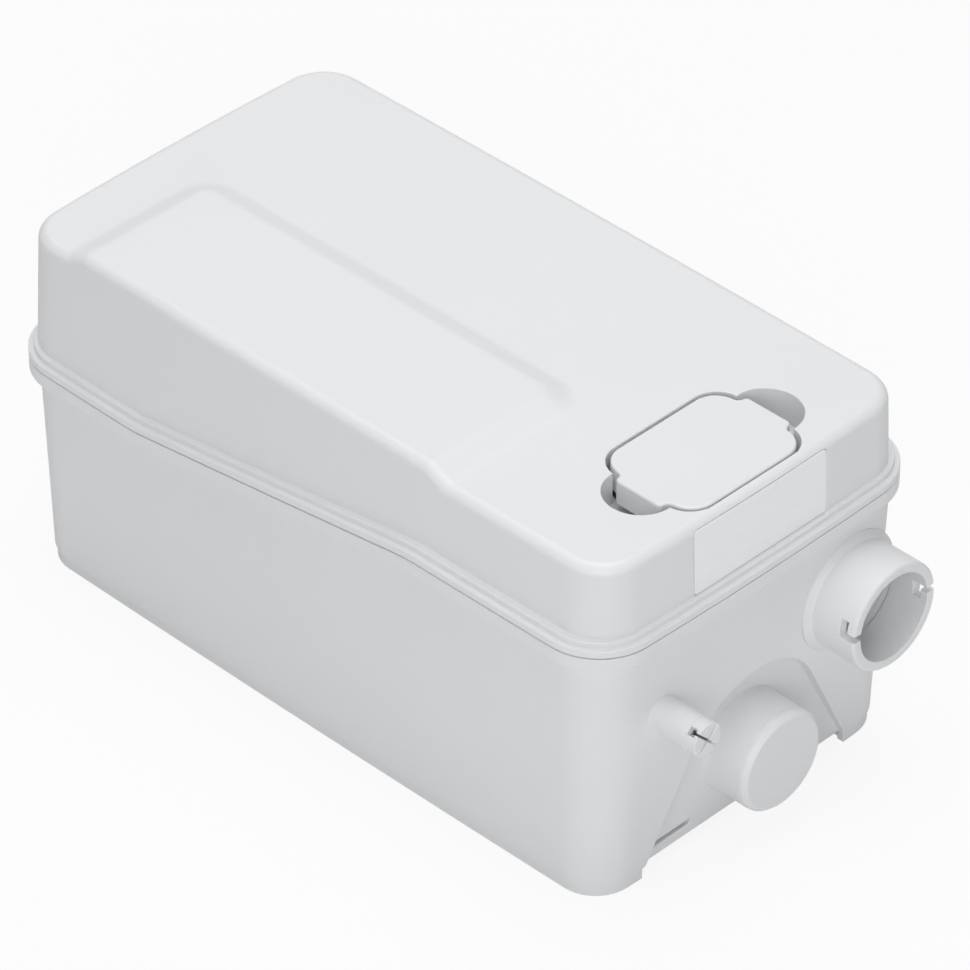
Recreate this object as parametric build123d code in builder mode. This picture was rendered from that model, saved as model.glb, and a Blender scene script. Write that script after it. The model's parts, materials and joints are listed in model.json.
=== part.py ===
from build123d import *
import os

# Wastewater lifting station: a moulded tank with a slanted seam, a cover with a raised panel and a
# service hatch, and inside them a motor and pump, a check valve, a level switch and a controller.
# Millimetres. The ports face -Y, +Z is up, and the origin is under the middle of the tank.

# Shell outline and seam
RIM_WIDTH = 164.4
RIM_LENGTH = 297.0
RIM_CORNER = 23.5
SIDE_BOW = 0.9
END_BOW = 1.8
SEAM_FRONT = 111.5
SEAM_BACK = 92.3
SLANT_FRONT = -57.0
SLANT_BACK = 80.0
SEAM_BEND = 60.0
SEAM_GAP = 0.5

# Clearances
FIT = 0.1
RUNNING_FIT = 0.04
SOFT_FIT = 0.3

# Tank
FLANGE_HEIGHT = 5.6
TANK_TOP_INSET = 3.5
TANK_FOOT_INSET = 6.8
TANK_END_INSET = -0.6
PLINTH_HEIGHT = 5.5
PLINTH_STEP = 0.8
WALL = 2.8
FLOOR_TOP = 14.2
FLOOR_WALL = 2.8
RIB = 2.4
RIB_LIFT = 1.5
TONGUE_INSET = 4.6
TONGUE_WALL = 1.6
TONGUE_HEIGHT = 3.0
CENTRE_PAD = 16.0
PAD_RADIUS = 9.0
PAD_HEIGHT = 3.0
PAD_BOSS_WALL = 2.0
PAD_X = 54.0
PAD_Y = 120.0

# Cover
COVER_TOP = 146.2
COVER_WALL = 2.6
COVER_FOOT_INSET = 4.1
COVER_TOP_INSET = 6.25
COVER_END_INSET = -1.3
TOP_EDGE = 4.4
RIM_LOW = 3.4
RIM_HIGH = 5.6
RIM_STEP = 2.0
RIM_LIP = 8.8
GROOVE_ROOM = 0.4
GROOVE_DEPTH = 4.6
PANEL_RISE = 4.2
PANEL_RIGHT = -6.5
PANEL_FRONT = -70.0
PANEL_BACK = 119.5
PANEL_CORNER = 14.0
PANEL_TOP_CORNER = 5.0
PANEL_RUN = 9.2
PANEL_BLEND = 8.0

# Hatch
HATCH_Y = -118.4
HATCH_WIDTH = 62.0
HATCH_LENGTH = 46.0
HATCH_CORNER = 11.0
SCOOP_X = 31.5
SCOOP_RADIUS = 13.3
TAB_WIDTH = 66.0
TAB_LENGTH = 21.5
HATCH_GAP = 1.1
HATCH_SIDE_GAP = 1.9
TAB_CORNER = 2.0
TAB_ROOT = 2.4
TRAY_FLOOR = 133.2
TRAY_WALL = 2.4
MANHOLE_WIDTH = 50.0
MANHOLE_LENGTH = 34.0
MANHOLE_CORNER = 8.0
LID_WALL = 2.0
LID_PLATE = 2.6
LID_EDGE = 1.0
NECK_GAP = 0.5
NECK_DROP = 3.0
HATCH_SEAL = 3.1
SEAL_GAP = 0.5

# Label plate on the front of the cover
LABEL_WIDTH = 66.0
LABEL_HEIGHT = 26.4
LABEL_Z = 130.3
LABEL_PLATE = 0.9
LABEL_SUNK = 0.4
LABEL_GAP = 0.3
LABEL_CORNER = 1.2

# Inlet spigot and its arched recess
INLET_Z = 31.8
INLET_ROOT = 20.6
INLET_RADIUS = 20.0
INLET_FLARE = 4.0
INLET_BORE = 17.4
INLET_END = -160.0
INLET_BAND = 3.6
INLET_GROOVE = 0.3
INLET_CHAMFER = 1.8
INLET_WALL = 2.6
RECESS_Y = -140.2
RECESS_RADIUS = 33.6
RECESS_FOOT = 52.0
RECESS_LIFT = 4.0
SLOT_LOW = 8.0
SLOT_HIGH = 10.2
SLOT_NEAR = 26.0
SLOT_FAR = 46.0

# Discharge socket
OUT_SIDE = 35.0
OUT_X = RIM_WIDTH / 2 - OUT_SIDE
OUT_Z = 74.0
OUT_RADIUS = 21.3
OUT_BORE = 17.4
OUT_MOUTH = -167.3
OUT_STEP = 17.0
OUT_SEAT = -135.5
OUT_EDGE = 0.8
OUT_ROOT = 24.0
OUT_FLARE = -148.2
BAYONET_ANGLES = (6.0, 177.0)
BAYONET_WIDTH = 8.4
BAYONET_TURN = 12.0
BAYONET_LEG = 3.3
BAYONET_DEPTH = 6.8

# Vent stub, its insert and the filter behind it
VENT_X = -OUT_X
VENT_Z = 74.0
VENT_ROOT = 6.9
VENT_RADIUS = 6.6
VENT_FLARE = 4.0
VENT_BORE = 5.0
VENT_END = -166.8
VENT_CAP = 5.0
VENT_FACE = 1.6
VENT_PLUG = 5.0
VENT_PASSAGE = 3.4
VENT_SLIT = 0.9
VENT_SLIT_DEPTH = 2.2
VENT_WINDOW = 3.0
VENT_SLIT_ANGLE = 45.0
VENT_WINDOW_ANGLE = 135.0
FILTER_SEAT = -139.0
FILTER_RADIUS = 13.0
FILTER_WALL = 1.6
FILTER_LENGTH = 36.0
FILTER_STUB = 8.0
FILTER_PORT = 3.4

# Check valve
VALVE_NOSE = -147.5
NOSE_RADIUS = 18.3
NOSE_BORE = 15.5
VALVE_FLANGE = 23.0
VALVE_FLANGE_WALL = 3.0
CHAMBER_BORE = 20.2
CHAMBER_OUTER = 22.6
VALVE_LENGTH = 23.5
VALVE_PLATE = 3.0
SEAT_BORE = 9.4
SEAT_OUTER = 12.0
SEAT_STAND = 3.0
FLAP_RADIUS = 12.5
FLAP_WALL = 2.4
FACING_WALL = 1.3
FACING_RADIUS = 11.6
HINGE_RISE = 14.6
PIN_RADIUS = 1.5
KNUCKLE_RADIUS = 2.8
KNUCKLE_WIDTH = 12.4
LUG_WALL = 2.6
LUG_GAP = 0.3
COLUMN_CIRCLE = 26.0
COLUMN_RADIUS = 4.4
COLUMN_ANGLES = (90.0, 180.0, 270.0)
VALVE_SCREW = 1.6
VALVE_SCREW_GRIP = 6.0
VALVE_HEAD = 3.2
VALVE_HEAD_WALL = 2.4

# Pump, at the bottom of the tank
PUMP_SIDE = 46.2
PUMP_X = PUMP_SIDE - RIM_WIDTH / 2
PUMP_Y = 26.0
FOOT_STAND = 4.8
FOOT_RADIUS = 5.0
BASE_WALL = 3.0
SUCTION_RADIUS = 11.0
PUMP_RADIUS = 34.0
CHAMBER_RADIUS = 30.0
CHAMBER_HEIGHT = 18.0
HOUSING_WALL = 3.0
OUTLET_RISE = 10.0
OUTLET_BORE = 8.0
OUTLET_WALL = 3.0
OUTLET_START = -1.6
EAR_CIRCLE = 37.0
EAR_RADIUS = 5.0
EAR_ANGLES = (25.0, 125.0, 235.0)
BOLT_RADIUS = 2.0
BOLT_HEAD = 3.6
BOLT_HEAD_WALL = 3.0
IMPELLER_RADIUS = 24.0
IMPELLER_GAP = 2.0
SHROUD = 2.4
BLADES = 6
BLADE_WALL = 2.2
BLADE_HEIGHT = 10.0
BLADE_SWEEP = 3.5
HUB_RADIUS = 7.0
SEAL_INNER = 25.0
SEAL_OUTER = 28.0
SEAL_WALL = 1.0

# Motor
SHAFT_RADIUS = 4.0
THREAD_RADIUS = 3.0
THREAD_LENGTH = 5.2
NUT_FLATS = 10.0
NUT_HEIGHT = 4.6
CAN_RADIUS = 30.0
CAN_WALL = 2.0
CAN_HEIGHT = 82.0
SHIELD_WALL = 4.0
NECK_RADIUS = 14.0
NECK_HEIGHT = 15.0
NECK_FLOOR = 2.0
SHAFT_PASSAGE = 6.0
BEARING_RADIUS = 11.0
BEARING_OUTER_RACE = 9.0
BEARING_INNER_RACE = 6.0
BEARING_WIDTH = 7.0
BALLS = 9
BALL_GAP = 0.05
BALL_DIP = 0.4
STACK_START = 23.0
STACK_HEIGHT = 36.0
AIR_GAP = 0.3
ROTOR_RADIUS = 15.1
ROTOR_RING = 3.0
ROTOR_RING_WALL = 6.0
WINDING_SLOTS = 12
WINDING_CIRCLE = 20.5
WINDING_SLOT = 2.6
WINDING_INNER = 17.0
WINDING_OUTER = 24.0
WINDING_TURN = 8.0
SEAL_POCKET = 9.9
SEAL_SEAT_BORE = 4.8
SEAL_SEAT_HEIGHT = 4.0
SEAL_RING_RADIUS = 8.5
SEAL_RING_HEIGHT = 3.4
CAP_WALL = 4.0
CAP_NECK = 11.0
CAP_DOME = 17.0
CAP_DOME_RISE = 3.0
TIE_CIRCLE = 33.4
TIE_EAR = 3.8
TIE_RADIUS = 1.8
TIE_HEAD = 3.2
TIE_HEAD_WALL = 2.6
TIE_ANGLES = (70.0, 190.0, 310.0)

# Discharge pipe
PIPE_RADIUS = 11.0
PIPE_WALL = 2.0
PIPE_BEND = 20.0
PIPE_OFFSET = 19.0
SOCKET_ROOM = 0.2
SOCKET_WALL = 3.0
SOCKET_DEPTH = 14.0
SOCKET_STOP = 0.5
RING_WIRE = 1.1
RING_PLACE = 5.0

# Level switch on its pressure tube
LEVEL_X = 36.0
LEVEL_Y = 72.0
LEVEL_RADIUS = 13.0
LEVEL_WALL = 2.0
LEVEL_TOP = 88.0
LEVEL_NOTCH = 6.0
LEVEL_NOTCH_HEIGHT = 8.0
LEVEL_PORT = 2.0
LOCATOR_HEIGHT = 3.0
SWITCH_RADIUS = 20.0
SWITCH_WALL = 2.0
SWITCH_BASE = 8.0
SWITCH_LEDGE = 3.0
SWITCH_CAP = 14.0
DIAPHRAGM = 1.0
PLUNGER_PLATE = 12.0
PLUNGER_WALL = 2.0
PLUNGER_STEM = 3.0
PLUNGER_PROUD = 1.4
SPRING_RADIUS = 5.2
SPRING_WIRE = 0.5
SPRING_TURNS = 5
CONTACT_WIDTH = 22.0
CONTACT_LENGTH = 8.0
CONTACT_HEIGHT = 11.0
CONTACT_SPAN = 10.0
CONTACT_LIFT = 4.0

# Controller under the cover
BOX_X = 36.0
BOX_Y = -24.0
BOX_WIDTH = 62.0
BOX_LENGTH = 104.0
BOX_LOW = 102.0
BOX_HEIGHT = 27.0
BOX_WALL = 2.0
BOX_LID = 2.4
BOX_CORNER = 4.0
PILLAR = 3.6
PILLAR_INSET = 5.0
HANGER = 4.5
HANGER_X = 18.0
HANGER_Y = 38.0
BOX_SCREW = 1.5
BOX_SCREW_GRIP = 7.0
BOX_HEAD = 2.8
BOX_HEAD_WALL = 2.0
BOARD_DROP = 5.0
BOARD = 1.6
BOARD_ROOM = 11.0
BOARD_GAP = 1.0
PEG = 2.5
PEG_X = 22.0
PEG_Y = 30.0
CAPACITOR_RADIUS = 7.6
CAPACITOR_LENGTH = 42.0
CAPACITOR_X = 52.0
CAPACITOR_Y = -32.0
RELAY_WIDTH = 15.0
RELAY_LENGTH = 19.0
RELAY_HEIGHT = 14.0
RELAY_X = 26.0
RELAY_Y = -46.0
CORE_WIDTH = 22.0
CORE_LENGTH = 18.0
CORE_HEIGHT = 12.0
COIL_LENGTH = 26.0
COIL_WIDTH = 14.0
COIL_STEP = 1.0
CORE_X = 26.0
CORE_Y = -14.0
TERMINAL_PITCH = 7.0
TERMINALS = 5
TERMINAL_LENGTH = 12.0
TERMINAL_HEIGHT = 10.0
TERMINAL_HOLE = 1.6
TERMINAL_Y = 10.0

# Cable gland in the back of the cover
GLAND_X = 38.0
GLAND_Z = 114.0
GLAND_THREAD = 7.9
GLAND_BORE = 6.0
GLAND_PAD = 12.6
GLAND_FACE = 146.8
GLAND_INNER = 141.0
GLAND_FLATS = 20.0
GLAND_HEX = 3.5
GLAND_CAP = 9.4
GLAND_CAP_LENGTH = 6.5
GLAND_SEAL_BORE = 3.6
GLAND_SEAL_LENGTH = 8.0
GLAND_NUT = 4.0

os.makedirs("parts", exist_ok=True)

# Levels and places worked out from the sizes above
FLOOR_BOTTOM = FLOOR_TOP - FLOOR_WALL
PANEL_TOP = COVER_TOP + PANEL_RISE
SHELL_HIGH = SEAM_FRONT + 2 * RIM_HIGH
TANK_DRAFT = (TANK_FOOT_INSET - TANK_TOP_INSET) / (SEAM_FRONT - PLINTH_HEIGHT)
COVER_DRAFT = (COVER_TOP_INSET - COVER_FOOT_INSET) / (COVER_TOP - SEAM_BACK)
BASE_LOW = FLOOR_TOP + FOOT_STAND
CHAMBER_LOW = BASE_LOW + BASE_WALL
CHAMBER_TOP = CHAMBER_LOW + CHAMBER_HEIGHT
HOUSING_TOP = CHAMBER_TOP + HOUSING_WALL
SHIELD_TOP = HOUSING_TOP + SHIELD_WALL
NECK_TOP = SHIELD_TOP + NECK_HEIGHT
CAN_TOP = SHIELD_TOP + CAN_HEIGHT
STACK_LOW = SHIELD_TOP + STACK_START
STACK_TOP = STACK_LOW + STACK_HEIGHT
CAP_BEARING_TOP = CAN_TOP - CAP_NECK + BEARING_WIDTH
SHROUD_LOW = CHAMBER_TOP - IMPELLER_GAP - SHROUD
BLADE_LOW = SHROUD_LOW - BLADE_HEIGHT
PIPE_Y = PUMP_Y - PIPE_OFFSET
PIPE_Z = CHAMBER_LOW + OUTLET_RISE
PIPE_SOCKET = PIPE_RADIUS + SOCKET_ROOM
VALVE_BACK = OUT_SEAT + VALVE_LENGTH
SEAT_FACE = VALVE_BACK - SEAT_STAND
FACING_FRONT = SEAT_FACE - FIT - FACING_WALL
HINGE_Y = FACING_FRONT - FLAP_WALL / 2
HINGE_Z = OUT_Z + HINGE_RISE
OUT_FACE = OUT_FLARE + OUT_ROOT - OUT_RADIUS
OUT_POCKET = NOSE_RADIUS + SOFT_FIT
SWITCH_LOW = LEVEL_TOP
MEMBRANE_LOW = SWITCH_LOW + SWITCH_BASE
CAP_LOW = MEMBRANE_LOW + DIAPHRAGM
CAP_TOP = CAP_LOW + SWITCH_CAP
PLATE_LOW = CAP_LOW + FIT
BOX_FLOOR = BOX_LOW + BOX_LID
BOX_TOP = BOX_FLOOR + BOX_HEIGHT
BOARD_LOW = BOX_TOP - BOX_WALL - BOARD_DROP - BOARD
LID_LOW = TRAY_FLOOR + HATCH_SEAL
PAD_PLACES = [(x, y) for x in (-PAD_X, PAD_X) for y in (-PAD_Y, PAD_Y)]
HANGER_PLACES = [
    (BOX_X + x, BOX_Y + y) for x in (-HANGER_X, HANGER_X) for y in (-HANGER_Y, HANGER_Y)
]
PEG_PLACES = [(BOX_X + x, BOX_Y + y) for x in (-PEG_X, PEG_X) for y in (-PEG_Y, PEG_Y)]
HANGING = (Align.CENTER, Align.CENTER, Align.MAX)
PILLAR_X = BOX_WIDTH / 2 - PILLAR_INSET
PILLAR_Y = BOX_LENGTH / 2 - PILLAR_INSET
PILLAR_PLACES = [
    (BOX_X + x, BOX_Y + y) for x in (-PILLAR_X, PILLAR_X) for y in (-PILLAR_Y, PILLAR_Y)
]


def around(x, y, radius, angles):
    """Places on a circle about a centre."""
    spokes = [Vector(radius, 0).rotate(Axis.Z, angle) for angle in angles]
    return [(x + spoke.X, y + spoke.Y) for spoke in spokes]


EAR_PLACES = around(PUMP_X, PUMP_Y, EAR_CIRCLE, EAR_ANGLES)
TIE_PLACES = around(PUMP_X, PUMP_Y, TIE_CIRCLE, TIE_ANGLES)
COLUMN_PLACES = around(OUT_X, OUT_Z, COLUMN_CIRCLE, COLUMN_ANGLES)


def outline(inset, height=0.0, end_inset=0.0):
    """The rim's outline, gently bowed, drawn in by an inset and placed at a height."""
    half_x = RIM_WIDTH / 2 - inset
    half_y = RIM_LENGTH / 2 - inset - end_inset
    with BuildSketch(Plane.XY.offset(height)) as face:
        with BuildLine():
            ThreePointArc((-half_x, -half_y), (0, -half_y - END_BOW), (half_x, -half_y))
            ThreePointArc((half_x, -half_y), (half_x + SIDE_BOW, 0), (half_x, half_y))
            ThreePointArc((half_x, half_y), (0, half_y + END_BOW), (-half_x, half_y))
            ThreePointArc((-half_x, half_y), (-half_x - SIDE_BOW, 0), (-half_x, -half_y))
        make_face()
        fillet(face.vertices(), RIM_CORNER - inset)
    return face.sketch


def tank_inset(height):
    return TANK_FOOT_INSET - TANK_DRAFT * (height - PLINTH_HEIGHT)


def tank_outline(extra, height):
    return outline(tank_inset(height) + extra, height, TANK_END_INSET)


def cover_inset(height):
    return COVER_FOOT_INSET + COVER_DRAFT * (height - SEAM_BACK)


def cover_outline(extra, height):
    return outline(cover_inset(height) + extra, height, COVER_END_INSET)


def seam_region(low, high):
    """Side view of a band that follows the slanted seam, from low to high beside it."""
    with BuildSketch(Plane.YZ) as face:
        with BuildLine():
            for shift in (low, high):
                FilletPolyline(
                    (-RIM_LENGTH, SEAM_FRONT + shift),
                    (SLANT_FRONT, SEAM_FRONT + shift),
                    (SLANT_BACK, SEAM_BACK + shift),
                    (RIM_LENGTH, SEAM_BACK + shift),
                    radius=SEAM_BEND,
                )
            for side, level in ((-RIM_LENGTH, SEAM_FRONT), (RIM_LENGTH, SEAM_BACK)):
                Line((side, level + low), (side, level + high))
        make_face()
    return face.sketch


def seam_ring(outer, inner, low, high):
    """A ring between two insets that follows the seam between two heights."""
    with BuildPart() as ring:
        extrude(outline(outer), amount=COVER_TOP)
        extrude(outline(inner), amount=COVER_TOP, mode=Mode.SUBTRACT)
        extrude(seam_region(low, high), amount=RIM_WIDTH, both=True, mode=Mode.INTERSECT)
    return ring.part


def turn_y(x, z, points, mode=Mode.ADD):
    """Turns a closed profile of (y, radius) points about a line along Y."""
    with BuildSketch(Plane(origin=(x, 0, z), x_dir=(0, 1, 0), z_dir=(1, 0, 0))) as face:
        with BuildLine():
            Polyline(*points, close=True)
        make_face()
    revolve(face.sketch, axis=Axis((x, 0, z), (0, 1, 0)), mode=mode)


def tube_y(x, z, start, end, outer, inner=0.0, mode=Mode.ADD):
    """A plain round tube or rod along Y."""
    turn_y(x, z, [(start, inner), (end, inner), (end, outer), (start, outer)], mode)


def turn_z(x, y, points, mode=Mode.ADD):
    """Turns a closed profile of (radius, z) points about an upright line."""
    with BuildSketch(Plane(origin=(x, y, 0), x_dir=(1, 0, 0), z_dir=(0, -1, 0))) as face:
        with BuildLine():
            Polyline(*points, close=True)
        make_face()
    revolve(face.sketch, axis=Axis((x, y, 0), (0, 0, 1)), mode=mode)


def tube_z(x, y, low, high, outer, inner=0.0, mode=Mode.ADD):
    """A plain round tube or rod, upright."""
    turn_z(x, y, [(inner, low), (inner, high), (outer, high), (outer, low)], mode)


def rod_x(y, z, start, end, radius, mode=Mode.ADD):
    """A plain round rod along X."""
    with BuildSketch(Plane.YZ.offset(start)) as face:
        with Locations((y, z)):
            Circle(radius)
    extrude(face.sketch, amount=end - start, mode=mode)


def block(x0, x1, y0, y1, z0, z1, mode=Mode.ADD):
    """A box between two corners."""
    with BuildSketch(Plane.XY.offset(z0)) as face:
        with Locations(((x0 + x1) / 2, (y0 + y1) / 2)):
            Rectangle(x1 - x0, y1 - y0)
    extrude(face.sketch, amount=z1 - z0, mode=mode)


def round_block(x, y, width, length, radius, z0, z1, mode=Mode.ADD):
    """An upright block with rounded corners."""
    with BuildSketch(Plane.XY.offset(z0)) as face:
        with Locations((x, y)):
            RectangleRounded(width, length, radius)
    extrude(face.sketch, amount=z1 - z0, mode=mode)


def hex_z(x, y, flats, low, high):
    """An upright hexagonal block."""
    with BuildSketch(Plane.XY.offset(low)) as face:
        with Locations((x, y)):
            RegularPolygon(flats / 2, 6, major_radius=False)
    extrude(face.sketch, amount=high - low)


def hex_y(x, z, flats, start, end):
    """A hexagonal block along Y."""
    with BuildSketch(Plane.XZ.offset(-start)) as face:
        with Locations((x, z)):
            RegularPolygon(flats / 2, 6, major_radius=False)
    extrude(face.sketch, amount=start - end)


def screw_z(x, y, seat, tip, radius, head, head_wall):
    """An upright screw with its head on a seat and a socket in the head."""
    up = 1 if seat > tip else -1
    top = seat + up * head_wall
    middle = top - up * head_wall / 2
    tube_z(x, y, min(seat, tip), max(seat, tip), radius)
    tube_z(x, y, min(seat, top), max(seat, top), head)
    tube_z(x, y, min(middle, top), max(middle, top), head / 2, mode=Mode.SUBTRACT)


def sector(x, z, inner, outer, start, turn, y, depth, mode):
    """Part of a ring that stands across Y, from y towards +Y by a depth."""
    with BuildSketch(Plane.XZ.offset(-y)) as face:
        with BuildLine():
            near = CenterArc((x, z), inner, start, turn)
            far = CenterArc((x, z), outer, start, turn)
            Line(near @ 0, far @ 0)
            Line(near @ 1, far @ 1)
        make_face()
    extrude(face.sketch, amount=-depth, mode=mode)


def arch(radius, foot, low, y):
    """The arched recess in front view at a depth: a round top on two slanted legs."""
    with BuildSketch(Plane.XZ.offset(-y)) as face:
        with Locations((0, INLET_Z)):
            Circle(radius)
        with Locations((0, (RECESS_LIFT + low) / 2)):
            Rectangle(2 * foot, RECESS_LIFT - low)
        make_hull()
        with Locations((0, low - RIM_LENGTH / 2)):
            Rectangle(RIM_LENGTH, RIM_LENGTH, mode=Mode.SUBTRACT)
    return face.sketch


def hatch_lid_face(height, shrink):
    """The hatch lid's outline at a height, with a tab over each finger scoop."""
    with BuildSketch(Plane.XY.offset(height)) as face:
        with Locations((0, HATCH_Y)):
            RectangleRounded(
                HATCH_WIDTH - 2 * HATCH_SIDE_GAP - 2 * shrink,
                HATCH_LENGTH - 2 * HATCH_GAP - 2 * shrink,
                HATCH_CORNER - HATCH_GAP - shrink,
            )
            Rectangle(TAB_WIDTH - 2 * shrink, TAB_LENGTH - 2 * shrink)
        ends = face.vertices().group_by(lambda corner: round(abs(corner.X), 1))[-1]
        fillet(ends, TAB_CORNER - shrink / 2)
        # out and back in, which rounds the inner corners where the tabs leave the body
        offset(amount=TAB_ROOT, kind=Kind.ARC)
        offset(amount=-TAB_ROOT, kind=Kind.ARC)
    return face.sketch


def tray_face(height, grow):
    """The hatch pocket's outline at a height, with its two finger scoops."""
    with BuildSketch(Plane.XY.offset(height)) as face:
        with Locations((0, HATCH_Y)):
            RectangleRounded(
                HATCH_WIDTH + 2 * grow, HATCH_LENGTH + 2 * grow, HATCH_CORNER + grow
            )
        with Locations((-SCOOP_X, HATCH_Y), (SCOOP_X, HATCH_Y)):
            Circle(SCOOP_RADIUS + grow)
    return face.sketch


def finish(piece, name):
    """Labels a piece and writes it."""
    piece.part.label = name
    export_step(piece.part, f"parts/{name}.step")


# The tank's inside and the hollow under its floor, less the seats that stand into them
with BuildPart() as tank_hollow:
    loft(sections=(tank_outline(WALL, FLOOR_TOP), tank_outline(WALL, SHELL_HIGH)), ruled=True)
    extrude(
        outline(TANK_FOOT_INSET + PLINTH_STEP + WALL, 0, TANK_END_INSET),
        amount=FLOOR_BOTTOM,
    )
    extrude(
        arch(RECESS_RADIUS + WALL, RECESS_FOOT + WALL, RECESS_LIFT - WALL, RECESS_Y + WALL),
        amount=RIM_LENGTH,
        mode=Mode.SUBTRACT,
    )
    tube_y(OUT_X, OUT_Z, -RIM_LENGTH, OUT_SEAT, VALVE_FLANGE, mode=Mode.SUBTRACT)
    for x, z in COLUMN_PLACES:
        tube_y(x, z, -RIM_LENGTH, OUT_SEAT, COLUMN_RADIUS, mode=Mode.SUBTRACT)
    tube_y(VENT_X, VENT_Z, -RIM_LENGTH, FILTER_SEAT, FILTER_RADIUS, mode=Mode.SUBTRACT)

# Tank: the shell, its flange and tongue, and what is moulded on it
with BuildPart() as tank:
    loft(sections=(tank_outline(0, PLINTH_HEIGHT), tank_outline(0, SHELL_HIGH)), ruled=True)
    extrude(outline(TANK_FOOT_INSET + PLINTH_STEP, 0, TANK_END_INSET), amount=PLINTH_HEIGHT)
    add(tank_hollow.part, mode=Mode.SUBTRACT)
    extrude(
        seam_region(-SEAM_FRONT - RIM_LENGTH, 0), amount=RIM_WIDTH, both=True, mode=Mode.INTERSECT
    )
    add(seam_ring(0, TONGUE_INSET + TONGUE_WALL, -FLANGE_HEIGHT, 0))
    add(seam_ring(TONGUE_INSET, TONGUE_INSET + TONGUE_WALL, -FLANGE_HEIGHT, TONGUE_HEIGHT))
    # ribs, a middle foot and pad bosses under the floor
    rib_y = RIM_LENGTH / 2 - TANK_FOOT_INSET - TANK_END_INSET - PLINTH_STEP - WALL / 2
    rib_x = RIM_WIDTH / 2 - TANK_FOOT_INSET - PLINTH_STEP - WALL / 2
    rib_front = RECESS_Y + WALL / 2
    block(-RIB / 2, RIB / 2, rib_front, rib_y, RIB_LIFT, FLOOR_TOP - WALL / 2)
    for y in (-rib_y / 2, rib_y / 2):
        block(-rib_x, rib_x, y - RIB / 2, y + RIB / 2, RIB_LIFT, FLOOR_TOP - WALL / 2)
    tube_z(0, 0, 0, FLOOR_TOP - WALL / 2, CENTRE_PAD)
    for x, y in PAD_PLACES:
        tube_z(x, y, 0, FLOOR_TOP - WALL / 2, PAD_RADIUS + FIT + PAD_BOSS_WALL)
        tube_z(x, y, 0, PAD_HEIGHT, PAD_RADIUS + FIT, mode=Mode.SUBTRACT)
    # arched recess, its open foot and the bracket slot in its back wall
    extrude(
        arch(RECESS_RADIUS, RECESS_FOOT, -WALL, RECESS_Y), amount=RIM_LENGTH, mode=Mode.SUBTRACT
    )
    foot_back = RECESS_Y + 2 * WALL
    block(-RECESS_FOOT, RECESS_FOOT, -RIM_LENGTH, foot_back, -WALL, RECESS_LIFT, Mode.SUBTRACT)
    slot = (-SLOT_FAR, -SLOT_NEAR, RECESS_Y - WALL, foot_back, SLOT_LOW, SLOT_HIGH)
    block(*slot, Mode.SUBTRACT)
    # inlet spigot, closed until it is sawn open
    band = INLET_END + INLET_BAND
    turn_y(0, INLET_Z, [
        (RECESS_Y + WALL / 2, 0),
        (RECESS_Y + WALL / 2, INLET_ROOT),
        (RECESS_Y, INLET_ROOT),
        (RECESS_Y - INLET_FLARE, INLET_RADIUS),
        (band + INLET_GROOVE, INLET_RADIUS),
        (band + INLET_GROOVE, INLET_RADIUS - INLET_GROOVE),
        (band, INLET_RADIUS - INLET_GROOVE),
        (band, INLET_RADIUS),
        (INLET_END + INLET_CHAMFER, INLET_RADIUS - INLET_GROOVE / 2),
        (INLET_END, INLET_RADIUS - INLET_CHAMFER),
        (INLET_END, 0),
    ])
    inlet_inside = INLET_END + INLET_WALL
    tube_y(0, INLET_Z, inlet_inside, RECESS_Y + 2 * WALL, INLET_BORE, mode=Mode.SUBTRACT)
    # root ring and hole for the discharge socket, and the holes for the valve's screws
    tube_y(OUT_X, OUT_Z, OUT_FACE, OUT_SEAT - WALL, OUT_ROOT)
    tube_y(OUT_X, OUT_Z, OUT_MOUTH, OUT_FACE, OUT_ROOT + FIT, mode=Mode.SUBTRACT)
    hole = OUT_RADIUS + FIT
    tube_y(OUT_X, OUT_Z, OUT_FACE - WALL, OUT_SEAT + WALL, hole, mode=Mode.SUBTRACT)
    for x, z in COLUMN_PLACES:
        tube_y(x, z, OUT_SEAT - VALVE_SCREW_GRIP, OUT_SEAT + WALL, VALVE_SCREW, mode=Mode.SUBTRACT)
    # vent stub
    stub_root = FILTER_SEAT - WALL
    turn_y(VENT_X, VENT_Z, [
        (VENT_END + VENT_CAP, 0),
        (VENT_END + VENT_CAP, VENT_RADIUS),
        (stub_root - 2 * VENT_FLARE, VENT_RADIUS),
        (stub_root - VENT_FLARE, VENT_ROOT),
        (stub_root, VENT_ROOT),
        (stub_root, 0),
    ])
    tube_y(VENT_X, VENT_Z, VENT_END, FILTER_SEAT + WALL, VENT_BORE, mode=Mode.SUBTRACT)
    # ring on the floor that keeps the level tube in place
    locator = LEVEL_RADIUS - LEVEL_WALL - FIT
    locator_top = FLOOR_TOP + LOCATOR_HEIGHT
    tube_z(LEVEL_X, LEVEL_Y, FLOOR_TOP - WALL / 2, locator_top, locator, locator - LEVEL_WALL)
finish(tank, "tank")

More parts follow.
